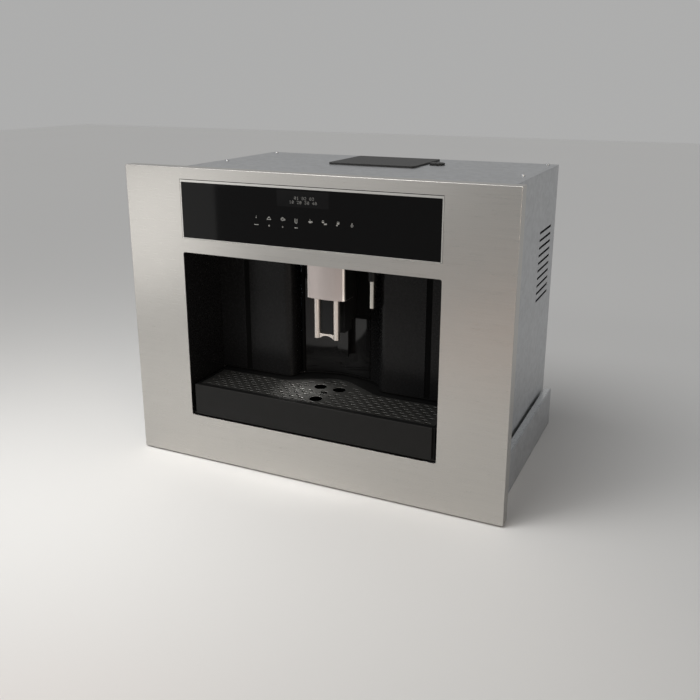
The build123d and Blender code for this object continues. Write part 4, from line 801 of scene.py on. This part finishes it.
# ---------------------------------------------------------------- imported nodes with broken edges
@dataclass(frozen=True)
class Shell:
    """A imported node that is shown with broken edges."""

    node: str
    body: str
    finish: Finish
    edge: float

    def build(self) -> Piece:
        """Trace the node, break its edges and dress it.

        Returns:
            The piece that stands for the node.
        """
        obj = Bench.soften(Bench.traced(self.node, self.node + "_shell"), self.edge)
        return Bench.deliver(obj, self.body, self.finish, [self.node])


def alike(body: str, finish: Finish, edge: float, *nodes: str) -> tuple[Shell, ...]:
    """Shells that share a body, a finish and the width of their broken edges."""
    return tuple(Shell(node, body, finish, edge) for node in nodes)


class SubAssembly:
    """A group of pieces: traced shells first, then the pieces modelled for it."""

    shells: tuple[Shell, ...] = ()

    def details(self) -> None:
        """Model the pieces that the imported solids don't have."""

    def build(self) -> None:
        """Make every shell and every detail of the group."""
        for shell in self.shells:
            shell.build()
        self.details()
        log.info("%s built", type(self).__name__)


# ---------------------------------------------------------------- front
@dataclass
class FasciaFront(SubAssembly):
    """Brushed fascia and the steel bezel of its control opening, with the dark line over it."""

    shells = (
        Shell("fascia_panel", "machine", Finishes.FASCIA, 0.35 * MM),
        Shell("glass_bezel", "machine", Finishes.BEZEL, 0.12 * MM),
    )
    line_x: float = 200.6 * MM
    line_z: float = 440.1 * MM
    line_h: float = 0.9 * MM
    line_proud: float = 0.02 * MM
    line_deep: float = 0.3 * MM
    line_edge: float = 0.03 * MM

    def details(self) -> None:
        """Make the dark line in the groove over the bezel."""
        low, high = self.line_z - self.line_h / 2, self.line_z + self.line_h / 2
        line = Bench.block("bezel_shadow_line", (-self.line_x, FACE_Y - self.line_proud, low),
                           (self.line_x, FACE_Y + self.line_deep, high))
        Bench.deliver(Bench.soften(line, self.line_edge), "machine", Finishes.PAINTED_SHADE)


DIGIT_COLUMNS = 5
DIGIT_ROWS = {
    "0": (14, 17, 19, 21, 25, 17, 14),
    "1": (4, 12, 4, 4, 4, 4, 14),
    "2": (14, 17, 1, 2, 4, 8, 31),
    "3": (31, 2, 4, 2, 1, 17, 14),
    "4": (2, 6, 10, 18, 31, 2, 2),
}


@dataclass
class ControlGlass(SubAssembly):
    """Black glass with a small dot display of plain numbers and a row of touch marks."""

    shells = (
        Shell("control_glass", "machine", Finishes.GLASS, 0.3 * MM),
        Shell("control_housing", "machine", Finishes.MATT_BLACK, 0.3 * MM),
        Shell("display_module", "machine", Finishes.GLOSS_BLACK, 0.3 * MM),
    )
    face_y: float = FACE_Y + 0.3 * MM
    print_t: float = 0.04 * MM
    window_x: float = 39.6 * MM
    window_z: tuple[float, float] = (412 * MM, 434 * MM)
    dot: float = 0.5 * MM
    dot_inset: float = 0.2
    dot_pitch: float = 0.58 * MM
    digit_pitch: float = 3.9 * MM
    lines: tuple[tuple[str, float, float], ...] = (
        ("01 02 03", -12.5 * MM, 422.3 * MM), ("10 20 30 40", -20.0 * MM, 416.6 * MM),
    )
    stroke: float = 0.62 * MM
    edge_share: float = 0.3
    corner_share: float = 0.35
    disc_sides: int = 20
    mark_xs_mm: tuple[float, ...] = (-73.4, -52.8, -31.3, -10.2, 11.1, 32.5, 52.7, 73.9)
    row_z_mm: float = 393.5
    sub_row_z_mm: float = 383.5

    def window(self) -> None:
        """Make the faint window of the display."""
        low, high = self.window_z
        pane = Bench.block("display_window", (-self.window_x, self.face_y - self.print_t, low),
                           (self.window_x, self.face_y, high))
        Bench.soften(pane, self.print_t * self.edge_share)
        Bench.deliver(pane, "machine", Finishes.WINDOW)

    def digits(self) -> None:
        """Lay the display's dots: one dot is modelled and copied."""
        y = self.face_y - self.print_t
        dot = Bench.block("dot", (0, y - self.print_t, 0), (self.dot, y, self.dot))
        with Bench.editing(dot, lambda face: face.normal.y < 0):
            bpy.ops.mesh.inset(thickness=self.dot * self.dot_inset, depth=0)
        moves = []
        for text, left, foot in self.lines:
            for n, letter in enumerate(text):
                for row, bits in enumerate(reversed(DIGIT_ROWS.get(letter, ()))):
                    for column in range(DIGIT_COLUMNS):
                        if bits >> (DIGIT_COLUMNS - 1 - column) & 1:
                            x = left + n * self.digit_pitch + column * self.dot_pitch
                            moves.append(Matrix.Translation((x, 0, foot + row * self.dot_pitch)))
        digits = Bench.joined("display_digits", Bench.copies(dot, moves))
        Bench.deliver(digits, "machine", Finishes.DIGITS)

    def bar(self, x: float, z: float, width: float, height: float) -> Piece:
        """A printed bar with rounded ends.

        Args:
            x: Its middle, in mm as every size of a mark.
            z: Its middle.
            width: Its width.
            height: Its height.

        Returns:
            The bar.
        """
        low = ((x - width / 2) * MM, self.face_y - self.print_t, (z - height / 2) * MM)
        high = ((x + width / 2) * MM, self.face_y, (z + height / 2) * MM)
        made = Bench.block("bar", low, high)
        round_by = min(width, height) * self.corner_share * MM
        with Bench.editing(made):
            bpy.ops.mesh.bevel(offset=round_by, segments=2, affect="VERTICES")
        return made

    @staticmethod
    def halved(mark: Piece, x: float, z: float, keep: Point | None) -> Piece:
        """Keep only the half of a mark on one side, if a side is given.

        Args:
            mark: The mark.
            x: Its middle.
            z: Its middle.
            keep: The direction whose half is kept, or nothing for the whole mark.

        Returns:
            The same mark.
        """
        if keep:
            with Bench.editing(mark):
                bpy.ops.mesh.bisect(plane_co=(x * MM, 0, z * MM), plane_no=keep,
                                    clear_inner=True, use_fill=True)
        return mark

    def ring(self, x: float, z: float, radius: float, keep: Point | None = None) -> Piece:
        """A printed ring, or the half of it on one side.

        Args:
            x: Its middle.
            z: Its middle.
            radius: Its radius.
            keep: The direction whose half is kept, or nothing for the whole ring.

        Returns:
            The ring.
        """
        Bench.clear()
        bpy.ops.mesh.primitive_torus_add(major_radius=radius * MM, minor_radius=self.stroke / 2,
                                         major_segments=24, minor_segments=6, rotation=Axis.Y.value)
        made = Bench.settle(bpy.context.object, "ring")
        with Bench.editing(made):
            bpy.ops.transform.resize(value=(1, self.print_t / self.stroke, 1), center_override=(0, 0, 0))
            bpy.ops.transform.translate(value=(x * MM, self.face_y - self.print_t / 2, z * MM))
        return self.halved(made, x, z, keep)

    def disc(self, x: float, z: float, radius: float, keep: Point | None = None) -> Piece:
        """A printed dot, or the half of it on one side.

        Args:
            x: Its middle.
            z: Its middle.
            radius: Its radius.
            keep: The direction whose half is kept, or nothing for the whole dot.

        Returns:
            The dot.
        """
        centre = (x * MM, self.face_y - self.print_t / 2, z * MM)
        made = Bench.drum("dot", centre, radius * MM, self.print_t, Axis.Y, self.disc_sides)
        return self.halved(made, x, z, keep)

    def marks(self) -> None:
        """Print the touch marks: plain cups, bars and drops."""
        bar, ring, disc = self.bar, self.ring, self.disc
        up, down = (0, 0, 1), (0, 0, -1)
        x, row, sub_row = self.mark_xs_mm, self.row_z_mm, self.sub_row_z_mm
        signs = (
            [bar(x[0], row, 0.7, 1.6), disc(x[0], row + 2.0, 0.4)],
            [ring(x[1], row - 1.2, 2.5, up), bar(x[1], row - 1.5, 6.6, 0.7), disc(x[1], row + 2.0, 0.8)],
            [ring(x[2], row + 0.9, 2.4, down), bar(x[2], row + 1.1, 5.4, 0.7), ring(x[2] + 3.0, row, 0.9),
             bar(x[2], row + 2.8, 3.0, 0.6)],
            [bar(x[3] - 1.5, row, 0.8, 4.8), bar(x[3] + 1.5, row, 0.8, 4.8),
             ring(x[3], row - 2.1, 1.5, down)],
            [disc(x[4], row + 0.6, 2.4, down), ring(x[4] + 2.7, row - 0.2, 0.9),
             bar(x[4] + 0.3, row + 2.4, 0.7, 2.0)],
            [disc(x[5] - 1.6, row + 1.6, 1.9, down), disc(x[5] + 1.6, row - 0.8, 1.9, down),
             ring(x[5] + 3.2, row - 1.4, 0.7), bar(x[5] - 1.6, row + 2.9, 2.4, 0.6)],
            [disc(x[6] + 0.9, row + 1.3, 1.9, down), disc(x[6] - 0.9, row - 1.9, 1.1),
             bar(x[6] + 0.9, row + 2.6, 3.6, 0.6)],
            [ring(x[7], row - 0.9, 1.5), bar(x[7], row + 1.9, 0.8, 1.8)],
            [bar(x[0], sub_row, 6.6, 0.9)],
            [ring(x[1], sub_row, 0.9)],
            [ring(x[2], sub_row, 0.8, down), disc(x[2], sub_row + 0.7, 0.4)],
            [bar(x[3] - 1.6, sub_row, 1.0, 1.7), disc(x[3], sub_row, 0.7), disc(x[3] + 1.7, sub_row, 0.7)],
        )
        for n, parts in enumerate(signs, 1):
            Bench.deliver(Bench.joined(f"touch_mark_{n}", parts), "machine", Finishes.MARKS)

    def details(self) -> None:
        """Make the window, the digits and the touch marks."""
        self.window()
        self.digits()
        self.marks()


# ---------------------------------------------------------------- niche
@dataclass
class Niche(SubAssembly):
    """Gloss black lining, its ceiling with the light bar, and the service door."""

    shells = (
        *alike("machine", Finishes.GLOSS_BLACK, 0.3 * MM, "left_wall_liner", "right_wall_liner",
               "niche_ceiling", "left_rear_liner", "right_rear_liner"),
        Shell("light_bar", "machine", Finishes.MATT_BLACK, 0.4 * MM),
        Shell("cup_lights", "machine", Finishes.LENS, 0.4 * MM),
    )
    groove_x: float = 152.0 * MM
    groove_w: float = 9.0 * MM
    groove_y: float = FACE_Y + 94.0 * MM
    groove_d: float = 1.2 * MM
    groove_z: tuple[float, float] = (127.6 * MM, 349.4 * MM)
    strip_play: float = 0.05 * MM
    strip_depths: tuple[float, float] = (0.6, 1.05)
    strip_edge: float = 0.1 * MM
    door_edge: float = 0.15 * MM
    barrel_x: float = -61.5 * MM

    def door(self) -> None:
        """Make the polished door, whose hinge barrel is deep black as painted shade."""
        panel = Bench.soften(Bench.traced("service_door", "door_panel"), self.door_edge)
        Bench.deliver(panel, "door", Finishes.DOOR, ["service_door"])
        Bench.dress(panel, Finishes.DOOR, Finishes.PAINTED_SHADE)
        # The hinge barrel's faces get the deep black, painted shade over the light line along the door's
        # edge.
        for face in panel.data.polygons:
            if face.center.x < self.barrel_x:
                face.material_index = 1

    def grooves(self) -> None:
        """Line the groove in each rear wall with a deep black strip, painted shade."""
        low, high = self.groove_z
        front, back = (self.groove_y + share * self.groove_d for share in self.strip_depths)
        side = self.groove_w / 2 - self.strip_play
        # Each strip paints the groove's shade as a dark band.
        for name, x in (("left_groove_painted_shade", -self.groove_x), ("right_groove_painted_shade", self.groove_x)):
            strip = Bench.block(name, (x - side, front, low), (x + side, back, high))
            Bench.deliver(Bench.soften(strip, self.strip_edge), "machine", Finishes.PAINTED_SHADE)

    def details(self) -> None:
        """Make the door and the strips in the grooves."""
        self.door()
        self.grooves()


@dataclass
class Spout(SubAssembly):
    """Steel head whose rounded rims are pale as a painted highlight, dark carrier and the two coffee pipes
    with their bridge.
    """

    shells = (
        Shell("spout_carrier", "spout", Finishes.CARRIER, 0.4 * MM),
        Shell("coffee_pipes", "spout", Finishes.TUBE, 0.3 * MM),
    )
    edge: float = 0.35 * MM
    rim_x: float = 27.0 * MM
    flank_normal: float = 0.97
    rim_normal: float = 0.28

    def details(self) -> None:
        """Make the head's steel cover: its rounded front edges are pale, a painted highlight, and its flanks
        black.
        """
        head = Bench.soften(Bench.traced("spout_cover", "head_cover"), self.edge)
        Bench.deliver(head, "spout", Finishes.SPOUT, ["spout_cover"])
        Bench.dress(head, Finishes.SPOUT, Finishes.SPOUT_EDGE_HIGHLIGHT, Finishes.CARRIER)
        # The faces of the rounded front edges get the pale finish, a painted highlight.
        for face in head.data.polygons:
            turned = abs(face.normal.x)
            if turned > self.flank_normal:
                face.material_index = 2
            elif turned > self.rim_normal and abs(face.center.x) > self.rim_x:
                face.material_index = 1


class HotWater(SubAssembly):
    """Hot water nozzle in its dark holder."""

    shells = (
        Shell("nozzle_holder", "machine", Finishes.CARRIER, 0.5 * MM),
        Shell("hot_water_nozzle", "machine", Finishes.NOZZLE, 0.5 * MM),
    )


@dataclass
class DripTray(SubAssembly):
    """Tray with its dark front, the perforated grid, the float and the grounds tub."""

    shells = (
        Shell("tray_front", "tray", Finishes.TRAY_FRONT, 0.7 * MM),
        Shell("drip_tray", "tray", Finishes.TRAY, 0.4 * MM),
        Shell("grounds_container", "tray", Finishes.MATT_BLACK, 0.4 * MM),
        Shell("level_float", "float", Finishes.FLOAT, 0.4 * MM),
    )
    rim: float = 0.45 * MM
    rim_normals: tuple[float, float] = (0.25, 0.97)

    def details(self) -> None:
        """Make the grid: its slots get rolled rims that are painted brighter as a highlight."""
        grid = Bench.soften(Bench.traced("drip_grid", "drip_grid_plate"), self.rim, clamp=False)
        Bench.deliver(grid, "grid", Finishes.GRID, ["drip_grid"])
        Bench.dress(grid, Finishes.GRID, Finishes.SLOT_EDGE_HIGHLIGHT)
        low, high = self.rim_normals
        # The slanted rim faces get the brighter finish, a painted highlight.
        for face in grid.data.polygons:
            if low < face.normal.z < high:
                face.material_index = 1


# ---------------------------------------------------------------- casing and rails
@dataclass
class Casing(SubAssembly):
    """Zinc coated casing with its screws."""

    shells = (
        *alike("machine", Finishes.ZINC, 0.3 * MM, "front_frame", "base_plate", "left_side_panel",
               "right_side_panel", "rear_panel", "top_cover"),
        Shell("deck_plate", "machine", Finishes.TRAY, 0.3 * MM),
        Shell("tray_bay", "machine", Finishes.MATT_BLACK, 0.4 * MM),
    )
    side_x: float = 264.1 * MM
    front_y: float = -178.5 * MM
    rear_y: float = 180.0 * MM
    bottom_z: float = 8.0 * MM
    top_z: float = 446.0 * MM
    margin: float = 14.0 * MM
    head_r: float = 3.5 * MM
    head_h: float = 2.0 * MM
    head_round: float = 0.84 * MM
    head_sides: int = 32
    shank_r: float = 1.75 * MM
    shank_l: float = 8.0 * MM
    shank_join: float = 0.5 * MM
    shank_sides: int = 20
    recess_l: float = 3.85 * MM
    recess_w: float = 0.6 * MM
    recess_foot: float = 0.7 * MM
    recess_top: float = 2.4 * MM

    def screw(self) -> Piece:
        """One pan head screw that stands upright on the origin, with a cross recess.

        Returns:
            The screw.
        """
        head = Bench.drum("screw", (0, 0, self.head_h / 2), self.head_r, self.head_h, Axis.Z, self.head_sides)
        with Bench.editing(head, lambda face: face.normal.z > 0.9):
            bpy.ops.mesh.bevel(offset=self.head_round, segments=4, affect="EDGES")
        shank = Bench.drum("shank", (0, 0, (self.shank_join - self.shank_l) / 2), self.shank_r,
                           self.shank_l + self.shank_join, Axis.Z, self.shank_sides)
        long, wide = self.recess_l / 2, self.recess_w / 2
        for x, y in ((long, wide), (wide, long)):
            slot = Bench.block("recess", (-x, -y, self.recess_foot), (x, y, self.recess_top))
            Bench.modify(head, "BOOLEAN", operation="DIFFERENCE", solver="EXACT", object=slot)
            bpy.data.objects.remove(slot)
        return Bench.joined("screw", [Bench.polish(head), shank])

    def details(self) -> None:
        """Model one screw, and copy it to the top and to the rear."""
        columns = (self.margin - self.side_x, -self.side_x / 3, self.side_x / 3, self.side_x - self.margin)
        lines = (self.front_y + self.margin, (self.front_y + self.rear_y) / 2, self.rear_y - self.margin)
        rows = (self.bottom_z + self.margin, self.top_z - self.margin)
        backward = Matrix.Rotation(-math.pi / 2, 4, "X")
        top = [Matrix.Translation((x, y, self.top_z)) for x in (columns[0], columns[-1]) for y in lines]
        rear = [Matrix.Translation((x, self.rear_y, z)) @ backward for x in columns for z in rows]
        screws = Bench.joined("cross_recess_screws", Bench.copies(self.screw(), top + rear))
        Bench.deliver(screws, "machine", Finishes.BRIGHT_ZINC, ["casing_screws"])


class Rails(SubAssembly):
    """Pull-out frame and its telescopic rails."""

    shells = (
        Shell("runner_frame", "pull_out_frame", Finishes.ZINC, 0.3 * MM),
        Shell("outer_rails", "pull_out_frame", Finishes.BRIGHT_ZINC, 0.2 * MM),
        Shell("middle_rails", "middle_runners", Finishes.BRIGHT_ZINC, 0.2 * MM),
        Shell("inner_rails", "machine", Finishes.BRIGHT_ZINC, 0.2 * MM),
    )


# ---------------------------------------------------------------- water and beans
class WaterTank(SubAssembly):
    """Clear tank with its lid and the socket that it plugs into."""

    shells = (
        Shell("water_tank", "tank", Finishes.CLEAR, 0.5 * MM),
        Shell("tank_lid", "tank_cap", Finishes.MATT_BLACK, 0.6 * MM),
        Shell("tank_socket", "machine", Finishes.GREY_MOULDING, 0.4 * MM),
    )


@dataclass
class BeanSide(SubAssembly):
    """Hopper with its lid, the grinder and the grind knob with its numbers."""

    shells = (
        Shell("bean_hopper", "machine", Finishes.SMOKED, 0.4 * MM),
        Shell("hopper_lid", "hopper_cap", Finishes.MATT_BLACK, 0.6 * MM),
        Shell("grinder_body", "machine", Finishes.GREY_MOULDING, 0.5 * MM),
        Shell("upper_burr", "machine", Finishes.BURR, 0.2 * MM),
        Shell("lower_burr", "burr", Finishes.BURR, 0.2 * MM),
        Shell("grinder_motor", "machine", Finishes.MOTOR, 0.6 * MM),
    )
    knob_x: float = 90.0 * MM
    knob_y: float = 90.0 * MM
    knob_z: float = 446.3 * MM
    knob_r: float = 12.0 * MM
    knob_t: float = 3.0 * MM
    knob_edge: float = 0.4 * MM
    ribs: int = 24
    rib_r: float = 0.55 * MM
    rib_in: float = 0.35 * MM
    rib_h: float = 2.1 * MM
    rib_edge: float = 0.15 * MM
    rib_sides: int = 8
    top_z: float = 446.0 * MM
    number_r: float = 17.0 * MM
    number_h: float = 4.2 * MM
    number_ink: float = 0.03 * MM
    numbers: int = 5
    number_first: float = 135.0
    number_step: float = 67.5

    def knob(self) -> None:
        """Give the knob a ribbed edge."""
        disc = Bench.soften(Bench.traced("grind_knob", "knob_disc"), self.knob_edge)
        rib = Bench.drum("rib", (self.knob_r - self.rib_in, 0, self.knob_t / 2), self.rib_r, self.rib_h,
                         Axis.Z, self.rib_sides)
        centre = Matrix.Translation((self.knob_x, self.knob_y, self.knob_z))
        step = 2 * math.pi / self.ribs
        turns = [centre @ Matrix.Rotation((n + 0.5) * step, 4, "Z") for n in range(self.ribs)]
        ribs = Bench.copies(Bench.soften(rib, self.rib_edge), turns)
        knob = Bench.joined("knob_with_ribs", [disc, *ribs])
        Bench.deliver(knob, "knob", Finishes.MATT_BLACK, ["grind_knob"])

    def settings(self) -> None:
        """Print the settings from 1 up on the cover round the knob."""
        made = []
        for n in range(self.numbers):
            angle = math.radians(self.number_first - self.number_step * n)
            Bench.clear()
            bpy.ops.object.text_add()
            text = bpy.context.object.data
            text.body = str(n + 1)
            text.size = self.number_h
            text.align_x = "CENTER"
            text.align_y = "CENTER"
            text.extrude = self.number_ink
            bpy.ops.object.convert(target="MESH")
            digit = bpy.context.object
            digit.data.transform(Matrix.Translation((
                self.knob_x + self.number_r * math.sin(angle), self.knob_y - self.number_r * math.cos(angle),
                self.top_z + self.number_ink)))
            made.append(digit)
        Bench.deliver(Bench.joined("grind_numbers", made), "machine", Finishes.PRINT)

    def details(self) -> None:
        """Make the knob and the numbers of its settings."""
        self.knob()
        self.settings()


class BrewUnit(SubAssembly):
    """Brew frame, chamber, lead screw and motor."""

    shells = (
        Shell("brew_frame", "machine", Finishes.GREY_MOULDING, 0.5 * MM),
        Shell("brew_chamber", "chamber", Finishes.MATT_BLACK, 0.5 * MM),
        Shell("lead_screw", "screw", Finishes.BURR, 0.4 * MM),
        Shell("brew_motor", "machine", Finishes.MOTOR, 0.6 * MM),
    )


class WaterCircuit(SubAssembly):
    """Heater, pump on its rubber mounts and the flow meter."""

    shells = (
        Shell("thermoblock", "machine", Finishes.CAST, 0.6 * MM),
        Shell("water_pump", "machine", Finishes.MOTOR, 0.5 * MM),
        Shell("pump_mounts", "machine", Finishes.RUBBER, 0.6 * MM),
        Shell("flow_meter", "machine", Finishes.GREY_MOULDING, 0.4 * MM),
    )


class Electrics(SubAssembly):
    """Boards, mains inlet and switch."""

    shells = (
        Shell("control_board", "machine", Finishes.BOARD, 0.2 * MM),
        Shell("power_board", "machine", Finishes.BOARD, 0.2 * MM),
        Shell("mains_inlet", "machine", Finishes.MATT_BLACK, 0.4 * MM),
        Shell("switch_rocker", "rocker", Finishes.RED, 0.5 * MM),
    )


def dress_packed() -> None:
    """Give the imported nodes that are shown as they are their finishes."""
    for name, finish in SHOWN_AS_PACKED.items():
        Bench.dress(Bench.nodes[name], finish)
    log.info("%d packed nodes dressed", len(SHOWN_AS_PACKED))


def main() -> None:
    """Build the scene, sub-assembly by sub-assembly."""
    logging.basicConfig(level=logging.INFO, format="%(message)s")
    Bench.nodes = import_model()["nodes"]
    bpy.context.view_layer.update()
    Studio().build()
    dress_packed()
    for part in (FasciaFront(), ControlGlass(), Niche(), Spout(), HotWater(), DripTray(), Casing(), Rails(),
                 WaterTank(), BeanSide(), BrewUnit(), WaterCircuit(), Electrics()):
        part.build()
    Bench.clear()
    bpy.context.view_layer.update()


if __name__ == "__main__":
    main()
